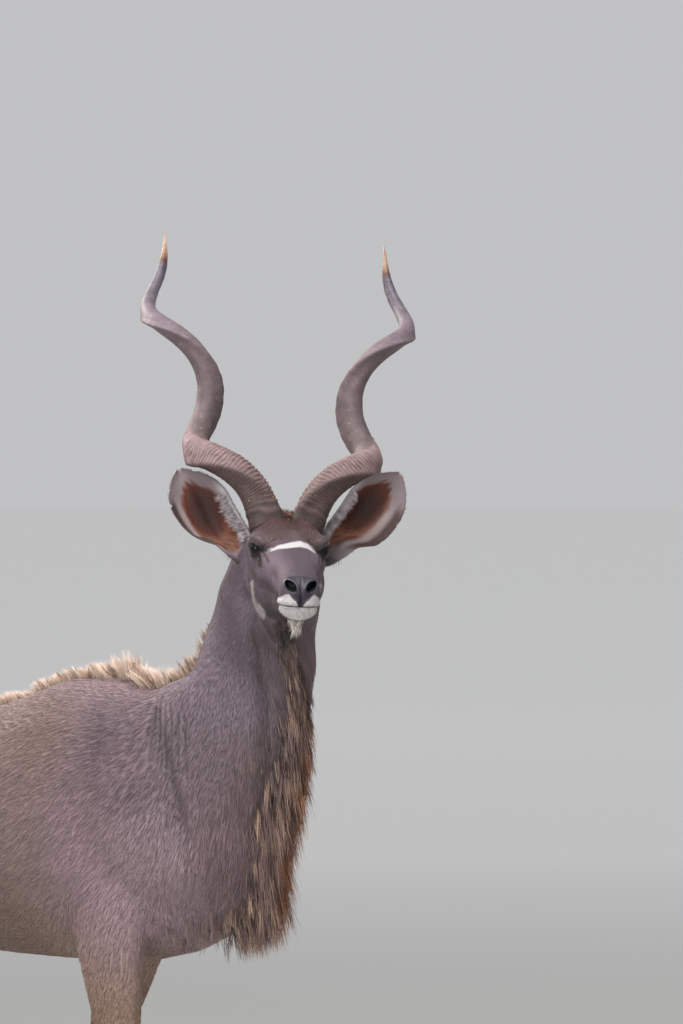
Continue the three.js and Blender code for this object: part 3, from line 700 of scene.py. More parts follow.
# %% [markdown]
# On the bull the skin runs on from the head over the ear. Each ear is first a closed shell, a front
# face and a back face. A boolean union then joins the shells to the skin. Only pushed in, they would
# show a seam at the foot.

# %% Join the ears to the skin
EAR_ROWS, EAR_COLUMNS = 90, 49


def ear_shell(name):
    """The closed shell of one ear."""
    up, across = np.linspace(0.0, 1, EAR_ROWS) ** 0.9, np.linspace(-1, 1, EAR_COLUMNS)
    t, s = np.meshgrid(up, across, indexing="ij")
    front, opening = ear_surface(name, t, s)
    thick = 2.2 + 3.2 * (1 - s**2) * (1 - 0.4 * t)
    back = front - opening * thick[..., None]
    ring = np.concatenate([front, back[:, ::-1]], axis=1)
    count = ring.shape[1]
    faces = [tube_faces(EAR_ROWS, count)]
    # the foot and the tip are closed between the two faces
    for row, flip in ((0, 1), (EAR_ROWS - 1, -1)):
        a = row * count + np.arange(EAR_COLUMNS - 1)
        b = row * count + count - 1 - np.arange(EAR_COLUMNS - 1)
        faces += [np.stack([a, b, a + 1], 1)[:, ::flip], np.stack([a + 1, b, b - 1], 1)[:, ::flip]]
    faces = np.concatenate(faces)[:, :: SIDES[name]]
    return new_piece(f"ear_shell_{name}", on_head(ring.reshape(-1, 3)), faces)


def joined(piece, others):
    """The union of closed meshes, in place of the first."""
    for other in others:
        modifier = piece.modifiers.new("join", "BOOLEAN")
        modifier.operation = "UNION"
        modifier.solver = "MANIFOLD"
        modifier.object = other
    graph = bpy.context.evaluated_depsgraph_get()
    mesh = bpy.data.meshes.new_from_object(piece.evaluated_get(graph))
    piece.modifiers.clear()
    for other in others:
        bpy.data.objects.remove(other)
    return mesh_arrays(mesh)


shells = [ear_shell(name) for name in SIDES]
body = new_piece("body", skin_points, skin_faces)
skin_points, skin_faces = joined(body, shells)
bpy.data.objects.remove(body)
print("with ears:", len(skin_points), "points,", len(skin_faces), "triangles")

# %% [markdown]
# A kudu's coat is short and smooth, grey brown with a mauve cast on the neck and shoulders, tan on
# the lower legs. Its lie, colour and length change slowly from place to place. They could be painted
# on an image, but named places can be read and moved: each says what the coat is like there, and
# every other place blends its neighbours. A row is a place, the way the hair lies, its colour, its
# length in mm and how far the row reaches. Rows off the middle count for both sides.

# %% Named places of the body
def linear(colour):
    """An sRGB hex colour as linear red, green and blue."""
    value = np.array([int(colour[i : i + 2], 16) for i in (1, 3, 5)]) / 255
    return np.where(value <= 0.04045, value / 12.92, ((value + 0.055) / 1.055) ** 2.4)


BODY_ROWS = [
    ((440, 60, 1640), (-0.35, 0, -1), "#7f6f7a", 12, 120),
    ((370, 100, 1450), (-0.3, 0, -1), "#857480", 15, 120),
    ((300, 110, 1300), (-0.35, 0, -1), "#7c6b72", 17, 120),
    ((340, 20, 1620), (-0.5, 0, -1), "#8d7c84", 14, 90),
    ((500, 0, 1500), (0.1, 0, -1), "#8f7b7d", 24, 90),
    ((420, 0, 1250), (0.1, 0, -1), "#8d7678", 34, 100),
    ((340, 0, 1020), (0.0, 0, -1), "#8a7274", 34, 110),
    ((355, 105, 1070), (-0.1, 0, -1), "#8a7276", 40, 70),
    ((210, 150, 1120), (-0.45, 0, -1), "#8f7a83", 20, 110),
    ((250, 120, 960), (-0.2, 0, -1), "#ac949a", 24, 110),
    ((90, 170, 1260), (-1, 0, -0.45), "#806a72", 21, 120),
    ((20, 60, 1420), (-1, 0.2, -0.1), "#957c80", 24, 110),
    ((70, 140, 1355), (-1, 0.1, -0.25), "#706069", 22, 75),
    ((165, 165, 1190), (-0.7, 0, -0.8), "#715f67", 20, 60),
    ((150, 170, 1040), (-0.7, 0, -0.8), "#b0979d", 20, 75),
    ((-110, 200, 1330), (-1, 0, -0.3), "#8d746b", 24, 90),
    ((40, 190, 1080), (-0.9, 0, -0.8), "#a0878d", 22, 130),
    ((60, 180, 900), (-0.5, 0, -1), "#a88e94", 20, 110),
    ((-220, 190, 1290), (-1, 0, -0.35), "#937b78", 23, 170),
    ((-260, 235, 1060), (-1, 0, -0.55), "#947d77", 23, 170),
    ((-300, 120, 850), (-1, 0, -0.2), "#8a7268", 22, 170),
    ((-560, 60, 1370), (-1, 0.2, -0.05), "#937b76", 23, 170),
    ((-560, 225, 1120), (-1, 0, -0.5), "#957e76", 23, 170),
    ((-640, 120, 880), (-1, 0, -0.2), "#a08a7c", 20, 150),
    ((-900, 120, 1330), (-1, 0, -0.4), "#937971", 22, 150),
    ((-960, 180, 1080), (-0.6, 0, -1), "#957a70", 20, 150),
    ((-1130, 60, 1200), (-0.2, 0, -1), "#9c867a", 20, 110),
    ((-1120, 30, 1020), (0, 0, -1), "#cdbfb0", 18, 80),
    ((0, 170, 760), (-0.15, 0, -1), "#957a6c", 13, 140),
    ((0, 80, 760), (-0.15, 0, -1), "#c4b09f", 13, 90),
    ((-900, 170, 850), (-0.4, 0, -1), "#987c6c", 14, 110),
    ((-960, 80, 820), (-0.3, 0, -1), "#cbb9a7", 14, 70),
    ((-60, 150, 560), (-0.1, 0, -1), "#9b7c65", 9, 170),
    ((-60, 140, 330), (0, 0, -1), "#a8825f", 7, 170),
    ((-1060, 150, 600), (-0.3, 0, -1), "#9d7e67", 10, 100),
    ((-1040, 140, 330), (0, 0, -1), "#a8825f", 7, 120),
    ((-60, 140, 90), (0.2, 0, -1), "#8a6a4f", 8, 110),
    ((-1030, 140, 90), (0.2, 0, -1), "#8a6a4f", 8, 110),
    ((-1205, 0, 1150), (0, 0, -1), "#8c7366", 24, 60),
]
print("named places of the body:", len(BODY_ROWS))

# %% [markdown]
# The head has rows of its own, in its own frame. The hair there is a few millimetres long. It is
# darker along the bridge of the nose, mauve on the cheeks, and brown and longer between the ears.
# Some rows under the jaw are darker, as painted shadow.

# %% Named places of the head
HEAD_ROWS = [
    ((400, 0, -30), (1, 0, -0.3), "#63535c", 5, 34),
    ((320, 0, -14), (1, 0, 0), "#6c5b64", 6, 40),
    ((245, 0, -8), (1, 0, 0), "#66555d", 6, 36),
    ((330, 44, -60), (1, 0.1, -0.2), "#75636d", 6, 34),
    ((250, 56, -46), (0.9, 0.2, -0.4), "#82707a", 6, 30),
    ((250, 58, -100), (-0.5, 0.2, -0.8), "#6f5d67", 7, 40),
    ((340, 44, -112), (-0.6, 0.1, -0.6), "#54454c", 6, 34),
    # painted shadow under the lower jaw
    ((325, 36, -142), (-0.8, 0.1, -0.5), "#42363a", 7, 30),
    ((190, 70, -80), (-0.4, 0.3, -0.9), "#7c6a74", 7, 34),
    ((130, 84, -110), (-0.9, 0.2, -0.6), "#7b6973", 8, 40),
    ((100, 70, -190), (-0.8, 0, -0.7), "#988791", 9, 40),
    ((220, 30, -176), (-0.9, 0, -0.4), "#4f4147", 8, 44),
    ((300, 0, -150), (-0.9, 0, -0.4), "#5c4c50", 9, 40),
    ((160, 40, 6), (0.9, 0.5, 0), "#66504f", 7, 30),
    ((150, 78, -2), (0.3, 0.9, 0), "#6c5a61", 6, 22),
    ((108, 40, 26), (0.7, 0.8, 0), "#6b4d4a", 10, 32),
    ((104, 0, 26), (1, 0, 0.2), "#6f4f47", 12, 26),
    ((66, 0, 30), (0.2, 0, 1), "#86634f", 20, 26),
    # the next two rows are painted shadow under the jaw
    ((190, 48, -205), (-0.9, 0, -0.5), "#43363a", 9, 36),
    ((150, 40, -230), (-0.8, 0, -0.6), "#54464c", 10, 40),
    ((50, 82, -20), (-0.8, 0.6, 0), "#7e6c70", 9, 34),
    ((0, 50, -60), (-1, 0, -0.3), "#8b7a80", 12, 50),
]
print("named places of the head:", len(HEAD_ROWS))

# %% [markdown]
# Between the rows the coat is blended, as wet colours run together on paper. Each point weighs the
# rows by how near they are for their reach: close to a row its own colour wins.

# %% Blend the named places
def guide(rows, place, way):
    """Rows as arrays, with a mirror image of each that is off the middle."""
    both = [(r, side) for r in rows for side in ((1, -1) if r[0][1] else (1,))]
    return (
        np.array([place([np.multiply(r[0], [1, side, 1])])[0] for r, side in both]),
        np.array([way([np.multiply(r[1], [1, side, 1])])[0] for r, side in both]),
        np.array([linear(r[2]) for r, _ in both]),
        np.array([float(r[3]) for r, _ in both]),
        np.array([r[4] * MM for r, _ in both]),
    )


GUIDE = [np.concatenate(pair) for pair in zip(
    guide(BODY_ROWS, on_body, body_way), guide(HEAD_ROWS, on_head, head_way)
)]


def blended(points):
    """Lie, colour and length of the coat at each point."""
    spots, lies, tones, lengths, reaches = GUIDE
    out = []
    for part in np.array_split(points, max(1, len(points) // 20000)):
        away = np.linalg.norm(part[:, None] - spots, axis=2) / reaches
        weight = np.exp(-1.2 * away**2) + 1e-6 * np.exp(-away)
        weight /= weight.sum(axis=1, keepdims=True)
        out.append(np.hstack([weight @ lies, weight @ tones, weight @ lengths[:, None]]))
    out = np.concatenate(out)
    return out[:, :3], out[:, 3:6], out[:, 6]


print("named places of the coat:", len(GUIDE[0]))

# %% [markdown]
# Some marks have sharp edges: the white chevron between the eyes, the white lips and chin, the white
# streak behind the cheek, the dark lids and tear lines and the bare nose pad. Each is drawn by its
# distance from a line or an outline. The face's own marks are drawn on its front view, with 'drop' as
# the height seen by someone who looks straight at the face from a little above.

# %% Outlines of the marks
FACE_TILT = math.radians(13.5)
WHITE, WARM_WHITE = linear("#dfdad9"), linear("#d8d0cd")
LID_DARK, PAD_DARK = linear("#1c1619"), linear("#2a2430")
# lines on the front view: aside and drop, in mm
CHEVRON = [(-53, -37), (-32, -27), (-2, -21), (16, -18), (32, -22), (50, -34)]
STREAK = [(76, -104), (72, -128), (66, -146), (58, -157), (50, -169), (42, -182)]
TEARS = [[(67, -44), (67, -66)], [(60, -40), (55, -58)]]
FOREHEAD_LINE = [(6, 48), (6, 14)]
PALE_BEFORE_EYE = [(52, -36), (62, -33)]
# the nose pad's half width at heights below the poll, and the top edge of the white lip to the side
PAD_DROP, PAD_HALF = [30, 34, 42, 56, 68, 80, 97, 99], [0, 26, 37, 39, 24, 10, 4.5, -9]
LIP_ASIDE, LIP_TOP = [0, 5, 12, 20, 27, 34, 42, 48, 52], [0, -6, -14, -21, -29, -27, -20, -13, -2]


def laid_over(colour, mark, share):
    """A colour with a mark over it, at the share given for each point."""
    return colour + share[:, None] * (mark - colour)


def nose_pad(spots):
    """1 on the bare skin of the nose."""
    along, aside, up = spots.T
    half = np.interp(-up, PAD_DROP, PAD_HALF)
    return (1 - ramp(np.abs(aside) - half, -1.5, 1.5)) * ramp(along, 394, 402) * ramp(-up, 28, 32)


def lip_white(spots):
    """1 on the white of the upper lip and of the chin."""
    along, aside, up = spots.T
    below = mouth_line(along) - up
    top = np.interp(np.abs(aside), LIP_ASIDE, LIP_TOP)
    upper = ramp(below - top, -1.5, 1) * (1 - ramp(below, -2.6, -1.4)) * ramp(along, 366, 374)
    under = 137 - 8 * (np.abs(aside) / 40) ** 2
    lower = ramp(below, 1.4, 2.6) * (1 - ramp(-up + 0.55 * (MOUTH_FRONT - along - 18), under - 6, under))
    lower *= ramp(along, 352, 364)
    return np.clip(upper + lower, 0, 1) * (1 - nose_pad(spots))


print("the white lip reaches", LIP_ASIDE[-1], "mm to each side")

# %% [markdown]
# Behind, the ear is furred like the neck. In front its hollow is nearly bare: red brown, almost black
# deep inside, with orange streaks, a pale margin at the inner edge and a brown lobe at the outer one.

# %% Colours of the ears
EAR_RED, EAR_DARK, EAR_ORANGE = linear("#5e2a1b"), linear("#2b130d"), linear("#8c522f")
EAR_GREY, EAR_BROWN = linear("#97878a"), linear("#4c3936")


def ear_colour(spots, out, name, colour):
    t, s, _ = ear_place(spots, name)
    on = ramp(t, 0.02, 0.16) * (np.abs(s) < 1.2) * (t < 1.1)
    noise = np.sin(s * 19 + 4 * np.sin(t * 11)) * np.sin(t * 31 + 3 * s)
    opening = head_way(ear_axes(name)[1] * [1, SIDES[name], 1])
    facing_front = ramp(out @ opening, -0.15, 0.15)
    front = on * facing_front
    back = on * (1 - facing_front)
    colour = laid_over(colour, linear("#7d6a68"), 0.8 * back)
    hollow = 1 - ramp(np.hypot((s + 0.08) / 0.76, (t - 0.50) / 0.40) + 0.03 * noise, 0.86, 1.04)
    inside = laid_over(np.broadcast_to(EAR_GREY, colour.shape), EAR_ORANGE, hollow * (0.85 + 0.15 * noise))
    deep = np.hypot((s + 0.1) / 0.62, (t - 0.62) / 0.27) + 0.09 * noise
    band = np.exp(-(((s - 0.58) / 0.09) ** 2)) * (1 - ramp(t, 0.6, 0.8))
    lobe = ramp(s, 0.68, 0.82) * ramp(t, 0.14, 0.3) * (1 - ramp(t, 0.66, 0.84))
    margin = (1 - ramp(s, -0.92, -0.72)) * (1 - ramp(t, 0.66, 0.8))
    low = 1 - ramp(t, 0.1, 0.24)
    rim = ramp(np.abs(s), 0.955, 0.99)
    for tone, share in (
        (EAR_RED, 1 - ramp(deep, 0.8, 1.15)),
        (EAR_DARK, (1 - ramp(deep, 0.3, 1.0)) * (0.8 + 0.2 * noise)),
        (EAR_RED, 0.5 * hollow * ramp(noise, 0.2, 0.7) * (1 - ramp(t, 0.4, 0.6))),
        (linear("#bdb0af"), 0.7 * band),
        (EAR_BROWN, lobe),
        (linear("#d8d0d2"), margin),
        (linear("#8f8184"), low * ramp(s, -0.2, 0.3)),
        (linear("#4a3434"), 0.8 * rim),
    ):
        inside = laid_over(inside, tone, share)
    return colour + front[:, None] * (inside - colour)


print("red of the hollow, linear:", EAR_RED.round(3))

# %% [markdown]
# The face is drawn in layers, the soft ones first: the dark bridge of the nose, then the chevron, the
# streak, the lips and the corner of the mouth, and last the rims of the eyes, the nose pad and the
# nostrils, which no other mark may cover. The black inside the nostrils is painted shade.

# %% Colours of the face
def face_colour(spots, colour):
    """The coat's colour on the face, with its marks over it and painted shade in the nostrils."""
    along, aside, up = spots.T
    drop = up * math.cos(FACE_TILT) - (along - EYE_AT[0]) * math.sin(FACE_TILT)
    off_middle = np.abs(aside)
    seen, folded = np.stack([aside, drop], axis=1), np.stack([off_middle, drop], axis=1)
    bridge = np.exp(-((aside / 17) ** 2)) * ramp(along, 215, 250) * (1 - ramp(along, 385, 400)) * (up > -60)
    colour = laid_over(colour, linear("#57474f"), 0.55 * bridge)
    gap, share = line_gap(seen, CHEVRON)
    half = 6.4 * (1 - 0.7 * np.abs(2 * share - 1.15) ** 1.8)
    colour = laid_over(colour, WHITE, (1 - ramp(gap - half, -1.2, 1.2)) * (up > -60) * (along > 100))
    gap, share = line_gap(folded, STREAK)
    gap -= 0.8 + 3.0 * ramp(share, 0.3, 0.6) * (1 - ramp(share, 0.8, 1.05))
    colour = laid_over(colour, WARM_WHITE, (1 - ramp(gap, 0.4, 2.6)) * (along < 260) * (up < -90))
    gap, _ = line_gap(seen, FOREHEAD_LINE)
    colour = laid_over(colour, linear("#4c3532"), 0.85 * (1 - ramp(gap, 4, 24)) * (along < 160))
    gap, _ = line_gap(folded, PALE_BEFORE_EYE)
    pale = 0.7 * (1 - ramp(gap, 1, 3.5)) * (along > 150) * (along < 230)
    colour = laid_over(colour, linear("#b7a097"), pale)
    colour = laid_over(colour, WHITE, lip_white(spots))
    corner = np.hypot((along - 352) / 26, (up + 114) / 13)
    colour = laid_over(colour, linear("#2f2629"), 0.8 * (1 - ramp(corner, 0.4, 1.1)) * (off_middle > 20))
    crease = 1 - ramp(np.abs(mouth_line(along) - up), 1.0, 2.2)
    colour = laid_over(colour, LID_DARK, crease * ramp(along, 340, 350))
    for side in SIDES.values():
        _, distance, u, v, outside = eye_place(spots, side)
        by_eye = distance < 45
        glow = 0.3 * by_eye * np.exp(-(((outside - 11) / 2.5) ** 2)) * (v > 0)
        colour = laid_over(colour, linear("#a8958f"), glow)
        rim = by_eye * (1 - ramp(outside, 3.2, 6.5 + 3 * ramp(-v, 0, 8) + 3 * ramp(u, 4, 18)))
        colour = laid_over(colour, LID_DARK, rim)
    for tear in TEARS:
        gap, _ = line_gap(folded, tear)
        dark = 0.75 * (1 - ramp(gap, 1.0, 3.6)) * (along > 150) * (along < 260)
        colour = laid_over(colour, linear("#2c2226"), dark)
    colour = laid_over(colour, PAD_DARK, nose_pad(spots))
    # painted shade: the inside of each nostril is painted nearly black
    hole = (1 - ramp(nostril_size(spots), 0.95, 1.25)) * ramp(along, 372, 384)
    return laid_over(colour, linear("#080506"), hole)


print("white of the face, linear:", WHITE.round(3))

# %% [markdown]
# A few thin white stripes run down each flank, never quite straight or even, so each has its own wave
# and width. The knees are pale on their inner side, and dark cuffs lie above the hooves. Folds of the
# skin are also drawn darker, as painted shade in them.

# %% The colour at any point of the coat
STRIPES = [-310, -395, -490, -585, -680, -770]


def striped(points, colour):
    """Thin white stripes down the flanks, pale insides of the knees and dark cuffs above the hooves."""
    ahead, left, height = body_spots(points).T
    for i, at in enumerate(STRIPES):
        lean = at + (1300 - height) * 0.12 + 9 * np.sin(height / 70 + i * 1.7)
        fade = ramp(height, 930 + 15 * (i % 3), 1010) * (1 - ramp(height, 1345, 1385))
        width = 5.5 + 2 * np.sin(height / 45 + i * 2.1)
        stripe = (1 - ramp(np.abs(ahead - lean), width * 0.5, width)) * fade * (np.abs(left) > 60)
        colour = laid_over(colour, linear("#c9bdb6"), 0.72 * stripe)
    knee = np.exp(-(((height - 400) / 60) ** 2)) * (np.abs(left) < 136) * (height < 520)
    colour = laid_over(colour, linear("#d8cbbb"), 0.5 * knee)
    cuff = (1 - ramp(height, 60, 74)) + np.exp(-(((height - 108) / 14) ** 2))
    return laid_over(colour, linear("#3a2c26"), 0.75 * np.clip(cuff, 0, 1))


def coat_colour(points, out, tones):
    """The colour of the coat at each point, with all its marks and painted shade in the folds."""
    spots = head_spots(points)
    colour = tones.copy()
    on_face = np.linalg.norm(spots - [230, 0, -80], axis=1) < 330
    colour[on_face] = face_colour(spots[on_face], colour[on_face])
    for name, side in SIDES.items():
        ear_middle = (EAR_FOOT + [0, 70, 90]) * [1, side, 1]
        at_ear = (np.linalg.norm(spots - ear_middle, axis=1) < 230) & (spots[:, 1] * side > 60)
        colour[at_ear] = ear_colour(spots[at_ear], out[at_ear], name, colour[at_ear])
    colour = striped(points, colour)
    # painted shade: the coat is drawn darker the deeper the fold of the skin under it
    return colour * (1 - 0.045 * np.clip(folds_at(points), 0, 9))[:, None]


def wetness(spots):
    """1 on bare moist skin: the nose pad outside the nostrils, and the edges of the lids."""
    along = spots[:, 0]
    inside = (1 - ramp(nostril_size(spots), 0.8, 1.1)) * ramp(along, 375, 385)
    wet = nose_pad(spots) * (1 - inside)
    for side in SIDES.values():
        _, distance, _, _, outside = eye_place(spots, side)
        wet = np.maximum(wet, (distance < 40) * (1 - ramp(outside, 1.5, 3.0)))
    return wet


skin_normals = normals_of(skin_points, skin_faces)
_, skin_tones, _ = blended(skin_points)
skin_colours = coat_colour(skin_points, skin_normals, skin_tones)
print("mean colour of the skin:", skin_colours.mean(axis=0).round(3))

# %% [markdown]
# Materials are built of nodes only. They could be drawn in the node editor, but written out they can
# be read and repeated. One small function adds a node with its settings and links, so each material
# below reads as a short recipe.

# %% One function for nodes
def feed(tree, socket, value):
    if isinstance(value, bpy.types.Node):
        tree.links.new(value.outputs[0], socket)
    elif isinstance(value, bpy.types.NodeSocket):
        tree.links.new(value, socket)
    elif socket.type == "RGBA":
        socket.default_value = (*np.asarray(value, float)[:3], 1)
    else:
        socket.default_value = value


def add(tree, kind, inputs=None, **settings):
    """A node with its settings; each input is a value or what it is linked to."""
    node = tree.nodes.new("ShaderNode" + kind)
    for key, value in settings.items():
        setattr(node, key, value)
    for name, value in (inputs or {}).items():
        feed(tree, node.inputs[name], value)
    return node


def recipe(name):
    """A new material, its tree and its shader."""
    material = bpy.data.materials.new(name)
    material.use_nodes = True
    tree = material.node_tree
    return material, tree, tree.nodes["Principled BSDF"]


def set_all(tree, shader, **inputs):
    for name, value in inputs.items():
        feed(tree, shader.inputs[name.replace("_", " ")], value)


def own_scale(tree, scale, detail=3.0, roughness=0.5):
    """Noise in the object's own space: a scale of 1000 gives grains of about a millimetre."""
    place = add(tree, "TexCoord").outputs["Object"]
    inputs = {"Vector": place, "Scale": scale, "Detail": detail, "Roughness": roughness}
    return add(tree, "TexNoise", inputs)


def stored(tree, label, output="Fac"):
    """What a piece stores for each of its points under this name."""
    return add(tree, "Attribute", attribute_name=label).outputs[output]


def scaled(tree, colour, amount):
    return add(tree, "VectorMath", {0: colour, "Scale": amount}, operation="SCALE")


def mix(tree, share, first, second):
    return add(tree, "MixRGB", {"Fac": share, "Color1": first, "Color2": second})


print("materials of the solids:", len(bpy.data.materials))

# %% [markdown]
# Hair is a dry, scaly fibre of keratin. It scatters light along its length, so the coat looks soft,
# with a faint pale sheen at its edge and no sharp highlight. Roots lie in each other's shadow and the
# tips are bleached, so each tuft grows paler towards its tip.

# %% Skin and coat
def coat_material(name, sheen):
    material, tree, shader = recipe(name)
    tint = stored(tree, "tint", "Color")
    tip = stored(tree, "tip")
    # painted shade at the root, where the tufts shade each other, and real bleaching towards the tip
    pale = add(tree, "MapRange", {"Value": tip, "To Min": 0.7, "To Max": 1.12})
    grain = add(tree, "MapRange", {"Value": own_scale(tree, 420), "To Min": 0.8, "To Max": 1.2})
    both = add(tree, "Math", {0: pale, 1: grain}, operation="MULTIPLY")
    colour = scaled(tree, tint, both)
    set_all(tree, shader, Base_Color=colour, Roughness=0.58, Sheen_Weight=sheen, Sheen_Roughness=0.45)
    shader.inputs["Specular IOR Level"].default_value = 0.3
    return material


COAT_MATERIALS = {
    # the short coat looks soft and dry, with a faint pale edge
    "coat": coat_material("short_coat", 0.12),
    # long hair stands free in the light, so its edge glows a little more
    "pale_hair": coat_material("long_hair", 0.18),
    # the tail's hair is coarse and dark, and nearly dull
    "dark_hair": coat_material("tail_hair", 0.10),
}
# Skin is dull under the coat; where it is bare it is moist, with a soft shine broken by fine pebbles.
skin_material, tree, shader = recipe("skin_under_coat")
tint = stored(tree, "tint", "Color")
wet = stored(tree, "wet")
# painted shade: the skin under the coat is drawn darker, 0.5 to 0.95 of its tint, as the tufts shade it
grain = add(tree, "MapRange", {"Value": own_scale(tree, 700), "To Min": 0.5, "To Max": 0.95})
fur = scaled(tree, tint, grain)
bare_skin = add(tree, "MapRange", {"Value": own_scale(tree, 300), "To Min": 0.85, "To Max": 1.15})
bare_skin = scaled(tree, tint, bare_skin)
colour = mix(tree, wet, fur, bare_skin)
rough = add(tree, "MapRange", {"Value": wet, "To Min": 0.62, "To Max": 0.44})
place = add(tree, "TexCoord").outputs["Object"]
pebbles = add(tree, "TexVoronoi", {"Vector": place, "Scale": 480.0}, feature="F1")
fuzz = own_scale(tree, 900, 4.0)
relief = mix(tree, wet, fuzz, pebbles)
bump = add(tree, "Bump", {"Height": relief, "Strength": 0.35, "Distance": 0.0012})
set_all(tree, shader, Base_Color=colour, Roughness=rough, Normal=bump)
shader.inputs["Specular IOR Level"].default_value = 0.4
print("materials of the skin and the coat:", 1 + len(COAT_MATERIALS))

# %% [markdown]
# The skin is one closed mesh. Its own shape is unwrapped once, and every tuft later takes the place
# of its root on that unwrap, so that the markings can be baked for skin and coat alike.

# %% The skin's piece
def attribute(piece, label, values):
    """Stores one number or one colour for each point of a piece."""
    values = np.asarray(values, np.float32)
    if values.ndim == 1:
        piece.data.attributes.new(label, "FLOAT", "POINT").data.foreach_set("value", values)
    else:
        rgba = np.hstack([values, np.ones((len(values), 1), np.float32)])
        piece.data.attributes.new(label, "FLOAT_COLOR", "POINT").data.foreach_set("color", rgba.ravel())


skin = new_piece("skin", skin_points, skin_faces)
skin.data.materials.append(skin_material)
attribute(skin, "tint", skin_colours)
attribute(skin, "wet", wetness(head_spots(skin_points)))
skin.data.uv_layers.new(name="OFBake")
bpy.context.view_layer.objects.active = skin
skin.select_set(True)
bpy.ops.object.mode_set(mode="EDIT")
bpy.ops.mesh.select_all(action="SELECT")
bpy.ops.uv.smart_project(angle_limit=math.radians(66), island_margin=0.001)
bpy.ops.object.mode_set(mode="OBJECT")
skin.select_set(False)
skin_uv = np.empty(len(skin_faces) * 6)
skin.data.uv_layers["OFBake"].data.foreach_get("uv", skin_uv)
skin_uv = skin_uv.reshape(-1, 3, 2)
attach(skin, "root")
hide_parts(*FLESH, "ear_left", "ear_right")
print("unwrap spans", skin_uv.min(axis=(0, 1)).round(3), skin_uv.max(axis=(0, 1)).round(3))

# %% [markdown]
# Hair can't be single hairs here: it is solid tufts, each a thin spindle of three sides with a sunk
# root and a sharp tip. A tuft leaves the skin in one direction and bends to another. Short coat has
# one ring of points between root and tip, long hair three or four. Each tuft has a shade of its own,
# and its tip is paler than its root: as on the real coat the sun bleaches the tips, and the darker
# root is painted shade.

# %% One function for tufts and locks
TUFT_PATCH = 0.003  # side of a tuft's place on the unwrap
# Each ring of a tuft is its share of the way to the tip and its share of the full width.
SHORT = [(0.38, 1.0)]
LONG = [(0.12, 0.8), (0.4, 1.0), (0.75, 0.7)]
LONGEST = [(0.08, 0.75), (0.32, 1.0), (0.6, 0.9), (0.85, 0.5)]


def strands(name, roots, first, last, out, length, width, tints, uv, rows=SHORT, slot="coat", drift=0):
    """A mesh of many strands. Lengths and widths are in mm; drift moves the tip aside, in metres."""
    count = len(roots)
    side = unit(np.cross(first, out))
    rings, tips = [roots - out * MM], [np.zeros(count)]
    shift = [np.zeros(count)]
    for t, share in rows + [(1.0, 0.0)]:
        middle = roots + (length * MM)[:, None] * (first * t + (last - first) * t * t / 2) + drift * t**1.5
        way = unit(first + (last - first) * t)
        flat = unit(np.cross(way, side))
        half = (width * MM * share / 2)[:, None]
        corners = [(0.0, 0.7), (0.95, -0.45), (-0.95, -0.45)] if share else [(0.0, 0.0)]
        for across, rise in corners:
            rings.append(middle + half * (across * side - rise * flat))
            tips.append(np.full(count, t))
            shift.append(np.full(count, across))
    points = np.stack(rings, axis=1)
    each = points.shape[1]
    faces = [(0, 2, 1), (0, 3, 2), (0, 1, 3)]
    for ring in range(len(rows) - 1):
        a = 1 + 3 * ring
        for i, j in ((0, 1), (1, 2), (2, 0)):
            faces += [(a + i, a + j, a + 3 + j), (a + i, a + 3 + j, a + 3 + i)]
    a = 1 + 3 * (len(rows) - 1)
    faces += [(a, a + 1, each - 1), (a + 1, a + 2, each - 1), (a + 2, a, each - 1)]
    faces = (np.arange(count)[:, None, None] * each + np.array(faces)).reshape(-1, 3)
    piece = new_piece(name, points.reshape(-1, 3), faces)
    attribute(piece, "tint", np.repeat(tints, each, axis=0))
    attribute(piece, "tip", np.stack(tips, axis=1).ravel())
    patch = np.stack([np.stack(shift, axis=1), np.stack(tips, axis=1) - 0.5], axis=2) * TUFT_PATCH / 2
    patch = (uv[:, None] + patch).reshape(-1, 2)
    layer = piece.data.uv_layers.new(name="OFBake")
    layer.data.foreach_set("uv", patch[faces.ravel()].astype(np.float32).ravel())
    piece.data.materials.append(COAT_MATERIALS[slot])
    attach(piece, "root")
    return piece


def scattered(weight):
    """Faces of the skin picked by weight, a place on each, its normal and its place on the unwrap."""
    total = np.cumsum(weight)
    pick = np.searchsorted(total, np.arange(rng.random(), total[-1], 1.0))
    pick = np.minimum(pick, len(skin_faces) - 1)
    share = rng.dirichlet([1, 1, 1], len(pick))[:, :, None]
    faces = skin_faces[pick]
    roots = (skin_points[faces] * share).sum(axis=1)
    out = unit((skin_normals[faces] * share).sum(axis=1))
    return roots, out, (skin_uv[pick] * share).sum(axis=1)


def spread_over(weight, count):
    """About this many places on the skin, dense where the weight of the faces is large."""
    return scattered(weight * count / weight.sum())


def kept(keep, *columns):
    """Each column of values, where keep is true."""
    return [column[keep] for column in columns]


corners = skin_points[skin_faces]
face_cross = np.cross(corners[:, 1] - corners[:, 0], corners[:, 2] - corners[:, 0])
face_area = np.linalg.norm(face_cross, axis=1) / 2
face_middle = corners.mean(axis=1)
print("skin area:", face_area.sum().round(2), "square metres")

# %% [markdown]
# The short coat. On the face the hair is under a centimetre long and lies so flat that it mostly
# shows as a sheen and a soft edge; on the body it is about two centimetres and shows as fine streaks
# that run back and down. So the tufts on the head are small and many, and those on the body longer
# and wider apart. None grows on the nose pad, in the nostrils, on the lids' edges or in the mouth.

# %% Where the short coat grows
HEAD_SPACING, EAR_SPACING, LEG_SPACING, BODY_SPACING = 2.35, 3.3, 4.8, 5.9  # mm between roots
HEAD_MIDDLE = [200, 0, -80]
HEAD_NEAR, HEAD_FAR = 215, 330  # mm from it, where the head's coat turns into the body's
HAIR_LOW = 51  # mm above the floor, where the hair ends on the hooves


